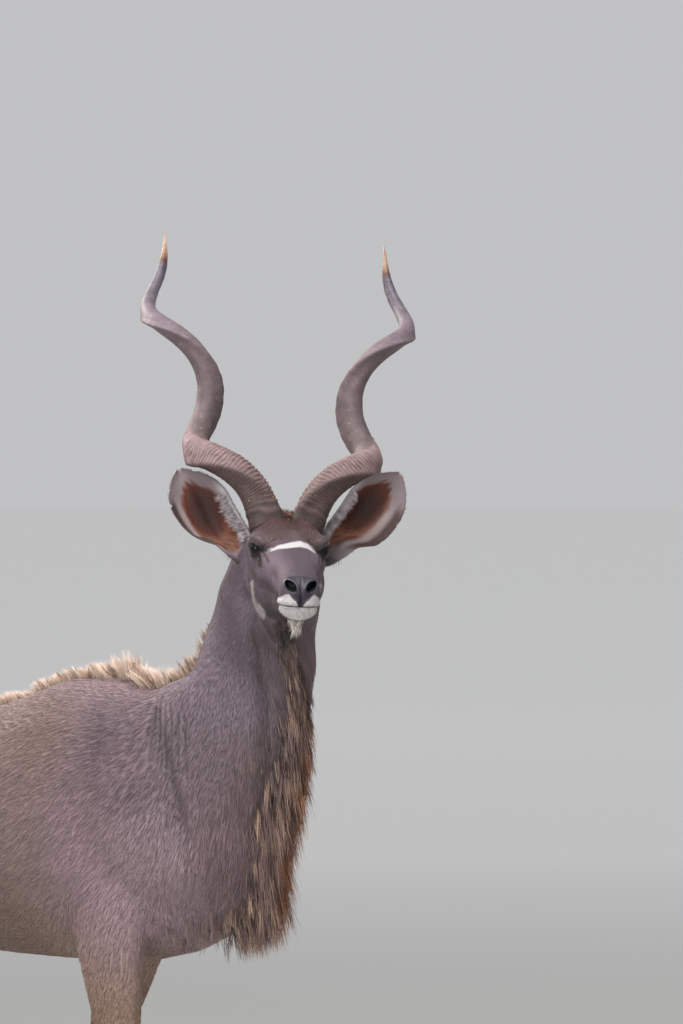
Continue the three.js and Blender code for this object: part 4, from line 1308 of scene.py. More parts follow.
def bare(spots):
    """True where no hair grows."""
    along, aside, up = spots.T
    below = mouth_line(along) - up
    out = (nose_pad(spots) > 0.3) | ((nostril_size(spots) < 1.15) & (along > 385))
    out |= (np.abs(below) < 1.3) & (along > MOUTH_CORNER + 4) & (np.abs(aside) < 60)
    for side in SIDES.values():
        _, distance, _, _, outside = eye_place(spots, side)
        out |= (outside < 2.2) & (distance < 40)
    return out


def off_head(spots):
    """0 in the head's coat and 1 in the body's."""
    return ramp(np.linalg.norm(spots - HEAD_MIDDLE, axis=1), HEAD_NEAR, HEAD_FAR)


def ear_share(spots, name):
    """True on the ear of this name, the lie of its hair, and each spot's place on the ear."""
    side = SIDES[name]
    t, s, ahead = ear_place(spots, name)
    way, _, outward = ear_axes(name)
    lie = way + outward * (0.9 * s * np.abs(s))[:, None]
    on = (t > 0.1) & (t < 1.1) & (np.abs(s) < 1.15) & (np.abs(ahead) < 25) & (spots[:, 1] * side > 70)
    return on, lie * [1, side, 1], t, s, ahead


middle_spots = head_spots(face_middle)
middle_height = body_spots(face_middle)[:, 2]
spacing = BODY_SPACING + (LEG_SPACING - BODY_SPACING) * (1 - ramp(middle_height, 700, 850))
spacing = HEAD_SPACING + (spacing - HEAD_SPACING) * off_head(middle_spots)
on_ears = np.zeros(len(face_middle), bool)
for name in SIDES:
    on_ears |= ear_share(middle_spots, name)[0]
spacing[on_ears] = EAR_SPACING
weight = face_area / (spacing * MM) ** 2 * ~bare(middle_spots) * (middle_height > HAIR_LOW)
roots, out, root_uv = scattered(weight)
print("places for tufts:", len(roots))

# %% [markdown]
# Each tuft follows the lie of the coat, with a slow waver from place to place and a little chance of
# its own. Without the waver the coat would look combed, and without the chance printed. On the body
# the shade varies more from tuft to tuft than on the face.

# %% The short coat
PIECE_TUFTS = 32000  # tufts in one piece at most
lie, tones, length = blended(roots)
spots = head_spots(roots)
roots, out, root_uv, lie, tones, length, spots = kept(
    ~bare(spots), roots, out, root_uv, lie, tones, length, spots
)
on_flank = off_head(spots)
for name in SIDES:
    on, ear_lie, _, s, front = ear_share(spots, name)
    lie[on] = head_way(ear_lie[on])
    length[on] = np.where(front[on] > -1.5, 3.5 + 1.5 * np.abs(s[on]), 5.5)
    on_flank[on] = 0
waver = 0.13 * np.sin(roots * [31, 27, 23] + [0, 2, 4])[:, [1, 2, 0]]
lie = lie + waver + rng.normal(0, 0.09, roots.shape)
lie = unit(lie - out * (lie * out).sum(axis=1, keepdims=True))
rise = 0.15 + 0.08 * on_flank + 0.10 * rng.random(len(out))
first, last = unit(lie + out * rise[:, None]), unit(lie + out * 0.02)
length = length * rng.uniform(0.75, 1.2, len(length)) * (1.25 - 0.1 * on_flank)
width = 0.8 + 0.5 * on_flank * np.clip(length / 18, 0.5, 1.1)
shade = np.exp(rng.normal(0, 1, (len(roots), 1)) * (0.09 + 0.15 * on_flank[:, None]))
shade = shade + 0.06 * np.sin(roots[:, :1] * 160) * np.sin(roots[:, 2:] * 140)
tints = coat_colour(roots, out, tones) * np.clip(shade, 0.6, 1.4)
order = np.argsort(body_spots(roots)[:, 0])[::-1]
for number, part in enumerate(np.array_split(order, math.ceil(len(order) / PIECE_TUFTS)), 1):
    strands(
        f"coat_{number:02d}", roots[part], first[part], last[part], out[part],
        length[part], width[part], tints[part], root_uv[part],
    )
print("tufts of the short coat:", len(roots))

# %% [markdown]
# Long hair stands in locks, whose strands start apart and lean together at the tip. Single hairs would
# be too many, and one solid lock would look like a leaf. The solids' own lines say where a crest is
# rooted and ends: each row is a root ahead of the withers and its height, the same for a tip, then the
# place to the left and the half width.

# %% Lines of the crests, and one function for locks
WITHERS_MANE = [
    [222, 1340, 172, 1414, 0, 9],
    [180, 1360, 150, 1446, 0, 13],
    [110, 1384, 84, 1478, 0, 16],
    [10, 1400, -16, 1486, 0, 17],
    [-90, 1396, -116, 1470, 0, 16],
    [-200, 1372, -222, 1434, 0, 15],
    [-330, 1334, -348, 1386, 0, 13],
    [-560, 1322, -574, 1374, 0, 12],
    [-900, 1326, -914, 1380, 0, 11],
    [-1010, 1318, -1020, 1354, 0, 8],
]
NAPE_MANE = [
    [300, 1440, 204, 1448, -3, 11],
    [320, 1500, 216, 1512, -8, 13],
    [352, 1570, 256, 1584, 26, 14],
    [386, 1640, 296, 1660, 44, 14],
    [410, 1710, 330, 1736, 52, 13],
    [440, 1760, 368, 1784, 50, 10],
]
THROAT_FRINGE = [
    [470, 1590, 552, 1582, -84, 10],
    [462, 1530, 566, 1514, -66, 16],
    [446, 1455, 572, 1431, -36, 20],
    [418, 1376, 560, 1342, -14, 24],
    [390, 1290, 546, 1244, -2, 27],
    [370, 1195, 528, 1146, 0, 28],
    [340, 1100, 496, 1052, 0, 25],
    [305, 1015, 448, 970, 0, 18],
    [262, 950, 380, 912, 0, 10],
]
CREST_STEPS = 160  # places along a crest's line


def crest_places(rows, band, count):
    """Places on the skin below a crest: root, normal, unwrap, the crest's way, its reach there,
    mm from its middle line and the share along it."""
    rows = through(rows, np.linspace(0, 1, CREST_STEPS))
    root, tip = on_body(rows[:, [0, 4, 1]]), on_body(rows[:, [2, 4, 3]])
    rise = tip - root
    low, high = np.minimum(root, tip).min(axis=0) - 0.05, np.maximum(root, tip).max(axis=0) + 0.05
    inside = np.flatnonzero(((face_middle > low) & (face_middle < high)).all(axis=1))
    away = face_middle[inside][:, None] - root
    t = np.clip((away * rise).sum(axis=2) / (rise**2).sum(axis=1), -0.3, 1)
    gap = np.linalg.norm(away - rise * t[..., None], axis=2)
    nearest = gap.argmin(axis=1)
    gap = gap[np.arange(len(inside)), nearest]
    facing_it = (skin_normals[skin_faces[inside, 0]] * unit(rise[nearest])).sum(axis=1)
    weight = np.zeros(len(skin_faces))
    weight[inside] = face_area[inside] * np.exp(-((gap / (band * MM)) ** 2)) * (facing_it > 0.15)
    roots, out, uv = spread_over(weight, count)
    nearest = np.linalg.norm(roots[:, None] - (root + rise * 0.3), axis=2).argmin(axis=1)
    reach = ((tip[nearest] - roots) * unit(rise[nearest])).sum(axis=1) / MM
    offset = (roots - root[nearest])[:, 0] / MM
    near_line = np.abs(offset) < 1.3 * band
    share = nearest / (CREST_STEPS - 1)
    return kept(near_line, roots, out, uv, unit(rise[nearest]), reach, offset, share)


def locks(
    name, node, places, first, last, length, tone,
    width=1.1, per_lock=8, apart=5.0, gather=0.5, slot="pale_hair",
):
    """Each place grows a lock of several strands, mm apart at the root and gathered at the tip."""
    roots, out, uv = places
    pick = np.repeat(np.arange(len(roots)), per_lock)
    offset = rng.normal(0, apart * MM, (len(pick), 3))
    offset -= out[pick] * (offset * out[pick]).sum(axis=1, keepdims=True)
    start = roots[pick] + offset - out[pick] * 2 * MM
    jitter = rng.normal(0, 0.05, (len(pick), 3))
    tints = tone[pick] * np.clip(rng.normal(1, 0.17, (len(pick), 1)), 0.5, 1.6)
    piece = strands(
        name, start, unit(first[pick] + jitter), unit(last[pick] + jitter), out[pick],
        length[pick] * rng.uniform(0.72, 1.08, len(pick)), np.full(len(pick), width), tints, uv[pick],
        LONGEST if length.mean() > 45 else LONG, slot, -offset * gather,
    )
    if node:
        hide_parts(node)
    print(name, "strands:", len(pick))
    return piece


def mixed(choices, shares, count):
    """One colour for each, picked by share."""
    return np.array([linear(c) for c in choices])[rng.choice(len(choices), count, p=shares)]


print("rows of the crests:", len(WITHERS_MANE) + len(NAPE_MANE) + len(THROAT_FRINGE))

# %% [markdown]
# The mane stands up along the withers in pale, curly tufts and thins out along the back. The tips
# waver forward and back, so the crest shows as separate tufts against the light. Its tones are
# partly the hair's pale colour and partly painted light from behind.

# %% The mane on the withers
roots, out, uv, _, reach, offset, _ = crest_places(WITHERS_MANE, band=17, count=800)
spot = body_spots(roots)[:, 0]
sway = 0.32 * np.sin(spot / 19) + 0.2 * np.sin(spot / 7.7) + rng.normal(0, 0.14, len(roots))
lean = body_way(np.stack([-0.3 + sway, offset / 36, np.ones(len(roots))], axis=1))
back = body_way(np.stack([np.full(len(roots), -0.5), offset / 60, np.zeros(len(roots))], axis=1))
first, last = unit(lean + 0.25 * out), unit(lean + back * 0.55)
# partly painted light: these tones are paler than the hair, for the light from behind the mane
tone = mixed(["#e4cab7", "#c6a995", "#967a6b", "#614b42"], [0.48, 0.28, 0.14, 0.10], len(roots))
length = np.clip(reach, 34, 120) * (1.0 + 0.16 * np.sin(spot / 13) + 0.12 * np.sin(spot / 31 + 1))
locks(
    "mane_withers", "withers_mane", (roots, out, uv), first, last, length, tone,
    width=1.15, gather=0.75,
)

# %% [markdown]
# The mane on the nape is thinner and shorter. Low on the neck it rises like the one on the withers;
# further up it lies back and hangs a little behind the head.

# %% The mane on the nape
roots, out, uv, way, _, _, t = crest_places(NAPE_MANE, band=15, count=260)
sway = rng.normal(0, 0.16, (len(roots), 3))
low_part = 1 - ramp(t, 0.2, 0.5)[:, None]
rise = body_way([-0.35, 0, 1]) * (0.2 + 1.2 * low_part)
hang = np.array([0, 0, 0.5]) * (1 - low_part)
first, last = unit(way + 0.2 * out + sway + rise), unit(way * 0.3 + sway + rise - hang)
tone = mixed(["#c2a68f", "#94786a", "#5c463e"], [0.45, 0.35, 0.2], len(roots))
length = np.interp(t, [0, 0.1, 0.2, 0.32, 0.5, 1], [58, 64, 42, 18, 12, 10])
locks(
    "mane_nape", "nape_mane", (roots, out, uv), first, last, length, tone,
    per_lock=7, apart=4.0, gather=0.75,
)

# %% [markdown]
# The deep fringe under the throat hangs down by its own weight. Towards the bull's left it is red
# brown, elsewhere darker and greyer. It is narrow under the jaw and full over the lower neck. Its top
# under the jaw is painted darker, as painted shadow.

# %% The fringe of the throat
roots, out, uv, way, _, offset, t = crest_places(THROAT_FRINGE, band=40, count=860)
sway = rng.normal(0, 0.09, (len(roots), 3))
aside = body_way([0, 1, 0]) * (offset / 120)[:, None]
down = body_way([0, 0, -1])
first = unit(way * 0.46 + down * 0.86 + aside + sway)
last = unit(way * (0.02 + 0.10 * t[:, None]) + down + aside * 0.2 + sway * 0.6)
edge = (rng.random(len(roots)) < 0.85 * ramp(offset, -14, 10) * ramp(t, 0.28, 0.48))[:, None]
tone = edge * mixed(["#87573a", "#a06c4a", "#4c3329"], [0.45, 0.3, 0.25], len(roots))
tone += (1 - edge) * mixed(["#7c6460", "#a98d7c", "#443432"], [0.45, 0.3, 0.25], len(roots))
length = np.interp(t, [0, 0.12, 0.3, 0.6, 0.85, 1], [28, 45, 85, 150, 150, 90])
length *= 1 - 0.55 * ramp(np.abs(offset), 12, 46)
high = 1 - ramp(t, 0.22, 0.42)
keep = rng.random(len(roots)) > high * ramp(np.abs(offset + 12), 11, 18)
# painted shadow: the fringe is drawn darker at its top, under the jaw
tone *= (0.45 + 0.65 * ramp(t, 0.04, 0.2))[:, None]
roots, out, uv, first, last, length, tone = kept(keep, roots, out, uv, first, last, length, tone)
locks("fringe_throat", "throat_fringe", (roots, out, uv), first, last, length, tone, width=1.15)

# %% [markdown]
# On both sides of the fringe the coat of the lower neck and the chest grows shaggy, in short hanging
# locks. They carry the fringe over into the short coat, so that it doesn't stand there like a board.

# %% Shaggy hair of the chest
roots, out, uv, _, _, offset, t = crest_places(THROAT_FRINGE, band=85, count=900)
keep = (t > 0.42) & (np.abs(offset) > 26) & (rng.random(len(t)) < 0.5 * ramp(t, 0.42, 0.62))
roots, out, uv, offset = kept(keep, roots, out, uv, offset)
down = body_way([-0.12, 0, -1])
first = unit(down + 0.2 * out + rng.normal(0, 0.08, roots.shape))
last = unit(down - 0.1 * out + rng.normal(0, 0.05, roots.shape))
tone = mixed(["#a08576", "#7f686a", "#54403b"], [0.45, 0.35, 0.2], len(roots))
length = (78 - 0.45 * np.abs(offset)) * rng.uniform(0.8, 1.1, len(roots))
locks("fringe_chest", None, (roots, out, uv), first, last, length, tone, per_lock=6, apart=4.5)

# %% [markdown]
# A small white beard hangs from the chin, longest in the middle. Like the crown after it, it grows
# from a patch of the head's skin, drawn as a weight for each face.

# %% The beard
along, aside, up = middle_spots.T
on_chin = (along > 352) & (along < 402) & (np.abs(aside) < 17) & (up < -124) & (up > -150)
roots, out, uv = spread_over(face_area * on_chin, 90)
ways = head_way(np.tile([-0.15, 0, -1.0], (len(roots), 1))) + rng.normal(0, 0.16, (len(roots), 3))
tone = mixed(["#e8e3df", "#cbbdb5", "#75625a"], [0.68, 0.24, 0.08], len(roots))
spots = head_spots(roots)
ways -= head_way([0, 1, 0]) * (spots[:, 1:2] / 34)
length = 24 + 24 * np.exp(-(((spots[:, 0] - 378) / 14) ** 2) - (spots[:, 1] / 9) ** 2)
ways = unit(ways)
locks("beard_chin", "chin_beard", (roots, out, uv), ways, ways, length, tone, apart=2.6, gather=0.6)

# %% [markdown]
# Between the ears and before the horns stands a crown of short brown hair, upright at the back and
# lying down on the forehead.

# %% The crown
from_crown = np.hypot((along - 82) / 50, aside / 44)
on_crown = (1 - ramp(from_crown, 0.5, 1.0)) * (up > 0) * (1 - 0.6 * ramp(along, 80, 130))
roots, out, uv = spread_over(face_area * on_crown, 400)
low = ramp(head_spots(roots)[:, 0], 66, 104)[:, None]
ways = unit(out * (1 - 0.65 * low) + head_way([1, 0, 0]) * (rng.uniform(-0.3, 0.6, low.shape) + low))
ways = unit(ways + rng.normal(0, 0.22, (len(roots), 3)))
tone = mixed(["#9a7360", "#5f4339", "#38261f"], [0.25, 0.4, 0.35], len(roots))
length = rng.uniform(11, 20, len(roots)) * (1 - 0.4 * low[:, 0])
locks(
    "crown", None, (roots, out, uv), ways, unit(ways - 0.4 * low * out), length, tone,
    width=1.0, per_lock=6, apart=3.0, gather=0.3,
)

# %% [markdown]
# The tail ends in a tuft of long, coarse, dark hair. It hangs in thicker strands than the mane.

# %% The tail's tuft
ahead, left, height = body_spots(face_middle).T
on_tip = (ahead < -1185) & (height < 1075) & (height > 990) & (np.abs(left) < 60)
roots, out, uv = spread_over(face_area * on_tip, 130)
down = body_way(np.tile([0, 0, -1.0], (len(roots), 1)))
ways = unit(down + 0.28 * out + rng.normal(0, 0.06, (len(roots), 3)))
tone = mixed(["#3b2c27", "#5a463c", "#8a7263"], [0.55, 0.3, 0.15], len(roots))
length = rng.uniform(70, 165, len(roots))
locks(
    "tuft_tail", "tail_tuft", (roots, out, uv), ways, unit(down - 0.12 * out), length, tone,
    width=2.0, per_lock=7, apart=3.5, slot="dark_hair",
)

# %% [markdown]
# Pale hairs fringe the inner edge of each ear and comb out over its hollow. They break the sharp rim.

# %% Combs of the ears
for name, side in SIDES.items():
    on, _, t, s, front = ear_share(middle_spots, name)
    comb = on * np.exp(-(((s + 0.84) / 0.08) ** 2)) * (t > 0.13) * (t < 0.64) * (front > -2)
    roots, out, uv = spread_over(face_area * comb, 120)
    t_at = ear_place(head_spots(roots), name)[0]
    way, opening, across = ear_axes(name)
    ways = head_way((across * 1.0 + opening * 0.3 + way * 0.12) * [1, side, 1])
    ways = unit(ways + rng.normal(0, 0.08, (len(roots), 3)))
    lasts = unit(ways + head_way((across * 0.3 - way * 0.3) * [1, side, 1]) * 0.6)
    tone = mixed(["#dcd3d7", "#c0b3b9", "#93858c"], [0.55, 0.3, 0.15], len(roots))
    length = rng.uniform(14, 21, len(roots)) * (1.2 - 0.4 * t_at)
    locks(
        f"ear_comb_{name}", None, (roots, out, uv), ways, lasts, length, tone,
        width=0.95, per_lock=9, apart=2.6, gather=0.25,
    )

# %% [markdown]
# A kudu's eye is large, dark brown and wet. The ball sits in its lids and the clear cornea stands a
# little proud of it. The pupil lies level and is drawn wide; almost no white shows. A glass cornea
# over a second ball would be slow and noisy, so the ball is a single piece whose colour depends on
# the distance from the gaze, under a smooth clear coat for the tear film.

# %% Eyes
EYE_RINGS, EYE_SIDES = 60, 72
CORNEA, CORNEA_RISE = math.radians(40), 1.5
PUPIL_LONG, PUPIL_TALL, IRIS_RADIUS = 7.6, 4.4, 11.0  # mm


def eyeball(name, side):
    angle = np.linspace(0, math.pi, EYE_RINGS + 1)[1:-1]
    turn = np.arange(EYE_SIDES) / EYE_SIDES * 2 * math.pi
    radius = EYE_RADIUS + CORNEA_RISE * np.exp(-((angle / CORNEA) ** 4))
    fore, rise = np.cos(turn), np.sin(turn)
    ring = np.sin(angle)[:, None, None] * (fore[:, None] * EYE_CORNER + rise[:, None] * EYE_LIFT)
    points = radius[:, None, None] * (ring + np.cos(angle)[:, None, None] * EYE_GAZE)
    ends = np.array([EYE_GAZE * (EYE_RADIUS + CORNEA_RISE), -EYE_GAZE * EYE_RADIUS])
    points = np.vstack([ends, points.reshape(-1, 3)])
    a = np.arange(EYE_SIDES)
    b = np.roll(a, -1)
    faces = [np.stack([0 * a, 2 + a, 2 + b], 1)]
    for row in range(EYE_RINGS - 2):
        i, j = 2 + row * EYE_SIDES + a, 2 + row * EYE_SIDES + b
        faces += [np.stack([i, i + EYE_SIDES, j + EYE_SIDES], 1), np.stack([i, j + EYE_SIDES, j], 1)]
    last = 2 + (EYE_RINGS - 2) * EYE_SIDES
    faces.append(np.stack([last + a, 0 * a + 1, last + b], 1))
    faces = np.concatenate(faces)[:, ::side]
    piece = new_piece(name, on_head((points + EYE_AT) * [1, side, 1]), faces)
    attribute(piece, "fore_mm", points @ EYE_CORNER)
    attribute(piece, "rise_mm", points @ EYE_LIFT)
    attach(piece, "root")
    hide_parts(name.replace("eyeball", "eye"))
    return piece


def eye_material():
    """Nearly black and wet, so that the eye looks alive by its one sharp light."""
    material, tree, shader = recipe("wet_eye")
    fore = stored(tree, "fore_mm")
    rise = stored(tree, "rise_mm")
    wide = add(tree, "Math", {0: fore, 1: 1 / PUPIL_LONG}, operation="MULTIPLY")
    tall = add(tree, "Math", {0: rise, 1: 1 / PUPIL_TALL}, operation="MULTIPLY")
    spot = add(tree, "CombineXYZ", {"X": wide, "Y": tall})
    pupil = add(tree, "VectorMath", {0: spot}, operation="LENGTH").outputs["Value"]
    pupil = add(tree, "MapRange", {"Value": pupil, "From Min": 0.85, "From Max": 1.1})
    flat = add(tree, "CombineXYZ", {"X": fore, "Y": rise})
    away = add(tree, "VectorMath", {0: flat}, operation="LENGTH").outputs["Value"]
    edge = add(tree, "MapRange", {"Value": away, "From Min": IRIS_RADIUS, "From Max": IRIS_RADIUS + 2})
    fibre = own_scale(tree, 260, 5.0)
    iris = mix(tree, fibre, linear("#060403"), linear("#140b07"))
    iris = mix(tree, pupil, linear("#040303"), iris)
    ball = mix(tree, edge, iris, linear("#0b0706"))
    set_all(tree, shader, Base_Color=ball, Roughness=0.5, Coat_Weight=0.6, Coat_Roughness=0.015)
    shader.inputs["Coat IOR"].default_value = 1.38
    shader.inputs["Specular IOR Level"].default_value = 0.05
    return material


wet_eye = eye_material()
for name, side in (("eyeball_left", 1), ("eyeball_right", -1)):
    eyeball(name, side).data.materials.append(wet_eye)
print("eyes are", 2 * EYE_RADIUS, "mm across")

# %% [markdown]
# Short dark lashes stand along the edge of the upper lid and droop at their tips. They give the lid
# its soft dark edge. Each is one thin strand, rooted on the outline of the opening.

# %% Lashes
LASHES = 46
for name, side in SIDES.items():
    u = np.linspace(-13, 17, LASHES) + rng.normal(0, 0.3, LASHES)
    v = OPENING_UP * (1 - (np.abs(u) / OPENING_LONG) ** OPENING_POWER) ** (1 / OPENING_POWER) + 0.8
    arc = np.hypot(u, v)
    flat = (u[:, None] * EYE_CORNER + v[:, None] * EYE_LIFT) / arc[:, None]
    angle = (arc / EYE_RADIUS)[:, None]
    away = EYE_GAZE * np.cos(angle) + flat * np.sin(angle)
    start = on_head((EYE_AT + away * (EYE_RADIUS + LID - 0.6)) * [1, side, 1])
    fan = u[:, None] / 30 * EYE_CORNER
    first = head_way((away + EYE_GAZE * 0.6 + fan) * [1, side, 1])
    last = head_way((away + EYE_GAZE * 0.4 + fan - EYE_LIFT * 0.9) * [1, side, 1])
    nearest = [int(np.argmin(((face_middle - spot) ** 2).sum(axis=1))) for spot in start]
    strands(
        f"lashes_{name}", start, first, last, head_way(away * [1, side, 1]),
        rng.uniform(7, 11, LASHES), np.full(LASHES, 0.4), np.tile(LID_DARK, (LASHES, 1)),
        skin_uv[nearest].mean(axis=1), LONG, "dark_hair",
    )
print("lashes:", 2 * LASHES)

# %% [markdown]
# A kudu's horn is a sheath of horn over a bony core. It grows as an open corkscrew, with a keel that
# starts at the front, a little to the inside, and winds outward. The solid's own numbers give the
# centre line again here, and the surface is swept along it with many more rings and sides, so that
# the growth ridges can be real shape: strong and wavy on the keel side, fading before the smooth tip.

# %% The horn's line
HORN_TILT = math.radians(36.5)
HORN_ROOT = np.array([65.0, 55.0, 24.0])
HORN_LENGTH = 842.0
HORN_SPLAY = [14.3, 17.6, -12.0]
HORN_HELIX = [36.0, 45.7, 35.4, 6.0]
HORN_PHASE = [5.5, 374.0, 744.0]
HORN_THICKNESS = [1, 0.88, 0.79, 0.72, 0.64, 0.56, 0.45, 0.27, 0.03]
HORN_BASE_RADIUS, HORN_ROOT_DEPTH, HORN_STEPS = 39.0, 34.0, 31
KEEL_LEAD, HORN_LEAN = math.radians(45), math.radians(1.2)


def horn_line():
    """Centres, keel directions and radii of the left horn at its stations, in the head's frame."""
    forward_up = np.array([math.sin(HORN_TILT), 0, math.cos(HORN_TILT)])
    back_up = np.array([-math.cos(HORN_TILT), 0, math.sin(HORN_TILT)])
    aside = np.array([0, 1.0, 0])
    t = np.arange(HORN_STEPS + 1) / HORN_STEPS
    splay = np.radians(evenly(HORN_SPLAY, t))[:, None]
    run = back_up * np.cos(splay) + aside * np.sin(splay)
    out = -back_up * np.sin(splay) + aside * np.cos(splay)
    axis = HORN_ROOT + np.cumsum(np.vstack([np.zeros(3), run[1:] * HORN_LENGTH / HORN_STEPS]), axis=0)
    phase = np.radians(evenly(HORN_PHASE, t))[:, None]
    reach = evenly(HORN_HELIX, t)[:, None]
    offset = reach * (-np.cos(phase) * out + np.sin(phase) * forward_up)
    centres = axis + offset - offset[0]
    keel = -np.cos(phase + KEEL_LEAD) * out + np.sin(phase + KEEL_LEAD) * forward_up
    centres[0] -= unit(centres[1] - centres[0]) * HORN_ROOT_DEPTH
    return centres, keel, HORN_BASE_RADIUS * evenly(HORN_THICKNESS, t)


horn_steps = np.linalg.norm(np.diff(horn_line()[0], axis=0), axis=1)
print("horn along its curve:", horn_steps.sum().round(), "mm")

# %% [markdown]
# The growth ridges ring the lower half of the horn. They are steep on one side and waver round it.
# A bump map would look flat at the outline, where a horn is judged, so they are real shape. Their
# height also tells the material what is worn pale.

# %% Sweep the horns
RIDGE_LOW, RIDGE_HIGH = 9.0, 6.5  # spacing of the growth ridges in mm, at the base and higher up
RIDGE_HEIGHT = 5.0
RIDGE_FADE = (330, 560)  # mm up the horn, where the ridges die out
HORN_RINGS, HORN_SIDES = 420, 56


def horn_relief(length, radius, angle, side):
    """Distance of the sheath from its centre line at each ring and angle, and how worn it is there."""
    turn = np.angle(np.exp(1j * angle))
    swell = 0.95 + 0.08 * np.maximum(np.cos(angle), 0) ** 3 + 0.25 * np.exp(-((turn / 0.30) ** 2))
    swell = swell - 0.05 * np.exp(-(((turn - 0.75) / 0.35) ** 2))
    # the ridges lean and waver round the horn, and each has its own strength
    spacing = RIDGE_LOW + (RIDGE_HIGH - RIDGE_LOW) * np.minimum(length / 500, 1)
    turns = np.cumsum(np.gradient(length[:, 0]) / spacing[:, 0])[:, None]
    waver = 0.5 * np.sin(angle + 0.6 + side) + 0.2 * np.sin(3 * angle + turns * 0.8)
    waver = waver + 0.12 * np.sin(7 * angle + turns * 2.3) * np.sin(turns * 0.9)
    wave = (turns + waver) % 1
    ridge = np.where(wave < 0.62, wave / 0.62, (1 - wave) / 0.38) ** 0.8
    own = 0.75 + 0.35 * np.sin(np.floor(turns + waver) * 2.4 + side) ** 2
    rough_face = ramp(-turn, -0.12, 0.25) * (1 - ramp(-turn, 2.3, 2.9))
    fade = ramp(length, 14, 36) * (1 - ramp(length, *RIDGE_FADE))
    height = RIDGE_HEIGHT * (ridge - 0.55) * own * (0.12 + 0.88 * rough_face) * fade
    lines = np.sin(turns * 2 * math.pi * 1.4 + 4 * waver)
    grain = (0.3 + 0.7 * (1 - rough_face)) * lines * ramp(length, 4, 20) * (1 - ramp(length, *RIDGE_FADE))
    crest = 1.6 * np.exp(-((turn / 0.15) ** 2)) * (0.7 + 0.3 * np.sin(turns * 1.7))
    around = radius * swell + (height + grain + crest * np.minimum(radius / 25, 1))
    worn = fade * (rough_face * (ridge - 0.3) - (1 - rough_face) * (0.14 - 0.24 * lines))
    worn = worn - 0.1 * (1 - fade) * (1 - rough_face) + 0.12 * lines * (1 - ramp(length, 20, 60))
    return around, worn


def swept_horn(name, side):
    centres, keel, radius = horn_line()
    t = np.linspace(0, 1, HORN_RINGS)
    centre, keel = through(centres, t), unit(through(keel, t))
    radius = evenly(radius, t)[:, None]
    run = unit(np.gradient(centre, axis=0))
    keel = unit(keel - run * (keel * run).sum(axis=1, keepdims=True))
    across = np.cross(run, keel)
    length = np.cumsum(np.r_[0, np.linalg.norm(np.diff(centre, axis=0), axis=1)])[:, None]
    angle = np.arange(HORN_SIDES) / HORN_SIDES * 2 * math.pi
    around, worn = horn_relief(length, radius, angle, side)
    spoke = np.cos(angle)[:, None] * keel[:, None] + np.sin(angle)[:, None] * across[:, None]
    points = (centre[:, None] + around[..., None] * spoke).reshape(-1, 3)
    lean = np.array(Matrix.Rotation(-HORN_LEAN, 3, "X")).T
    points = on_head(np.vstack([points, centre[[0, -1]]]) * [1, side, 1] @ lean)
    ring = np.arange(HORN_SIDES)
    top_ring = ring + (HORN_RINGS - 1) * HORN_SIDES
    foot, top = np.full(HORN_SIDES, len(points) - 2), np.full(HORN_SIDES, len(points) - 1)
    faces = np.concatenate([
        tube_faces(HORN_RINGS, HORN_SIDES),
        np.stack([np.roll(ring, -1), ring, foot], 1),
        np.stack([top_ring, np.roll(top_ring, -1), top], 1),
    ])
    piece = new_piece(name, points, faces[:, ::side])
    for label, value in (("length_mm", np.broadcast_to(length, around.shape)), ("ridge", worn)):
        attribute(piece, label, np.r_[value.ravel(), value[0, 0], value[-1, 0]])
    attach(piece, "root")
    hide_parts(name.replace("horn_sheath", "horn"))
    return piece


horns = [swept_horn("horn_sheath_left", 1), swept_horn("horn_sheath_right", -1)]
print("horn triangles:", sum(len(horn.data.polygons) for horn in horns))

# %% [markdown]
# Horn is layered keratin, worn by brush and mud. The ridges' crests are rubbed pale and the grooves
# between them hold dark dirt. The upper part is smoother, a dull lilac grey, with a dark band below
# the polished ivory tip. A few specks of yellow lichen sit on the rough part.

# %% Horn material
HORN_TONES = [  # share of the length from the base, and the colour there
    (0.0, "#523c39"), (0.08, "#6b5350"), (0.3, "#806a6a"), (0.55, "#826d71"), (0.8, "#84737f"),
    (0.935, "#75687a"), (0.95, "#6b4034"), (0.965, "#b5805f"), (0.985, "#d2ab8e"),
]


def horn_material():
    """Dull and rough below, with pale crests and dark grooves; smooth with a soft shine at the tip."""
    material, tree, shader = recipe("spiral_horn")
    length = stored(tree, "length_mm")
    ridge = stored(tree, "ridge")
    share = add(tree, "MapRange", {"Value": length, "From Max": 980.0})
    tones = add(tree, "ValToRGB", {"Fac": share})
    for at, _ in HORN_TONES[1:-1]:
        tones.color_ramp.elements.new(at)
    for element, (at, tone) in zip(tones.color_ramp.elements, HORN_TONES):
        element.position = at
        element.color = (*linear(tone), 1)
    worn = {"Value": ridge, "From Min": -0.2, "From Max": 0.7, "To Min": 0.42, "To Max": 1.5}
    base = scaled(tree, tones, add(tree, "MapRange", worn))
    blotch = own_scale(tree, 45, 8.0, 0.7)
    light = {"Value": blotch, "From Min": 0.3, "From Max": 0.7, "To Min": 0.6, "To Max": 1.25}
    base = scaled(tree, base, add(tree, "MapRange", light))
    speck = own_scale(tree, 170)
    speck = add(tree, "MapRange", {"Value": speck, "From Min": 0.66, "From Max": 0.72})
    patch = add(tree, "MapRange", {"Value": blotch, "From Min": 0.5, "From Max": 0.6})
    speck = add(tree, "Math", {0: speck, 1: patch}, operation="MULTIPLY")
    base = mix(tree, speck, base, linear("#b8a266"))
    fine = own_scale(tree, 230, 7.0, 0.72)
    bump = add(tree, "Bump", {"Height": fine, "Strength": 0.7, "Distance": 0.002})
    rough = add(tree, "MapRange", {"Value": share, "From Min": 0.4, "To Min": 0.62, "To Max": 0.38})
    set_all(tree, shader, Base_Color=base, Roughness=rough, Normal=bump)
    return material


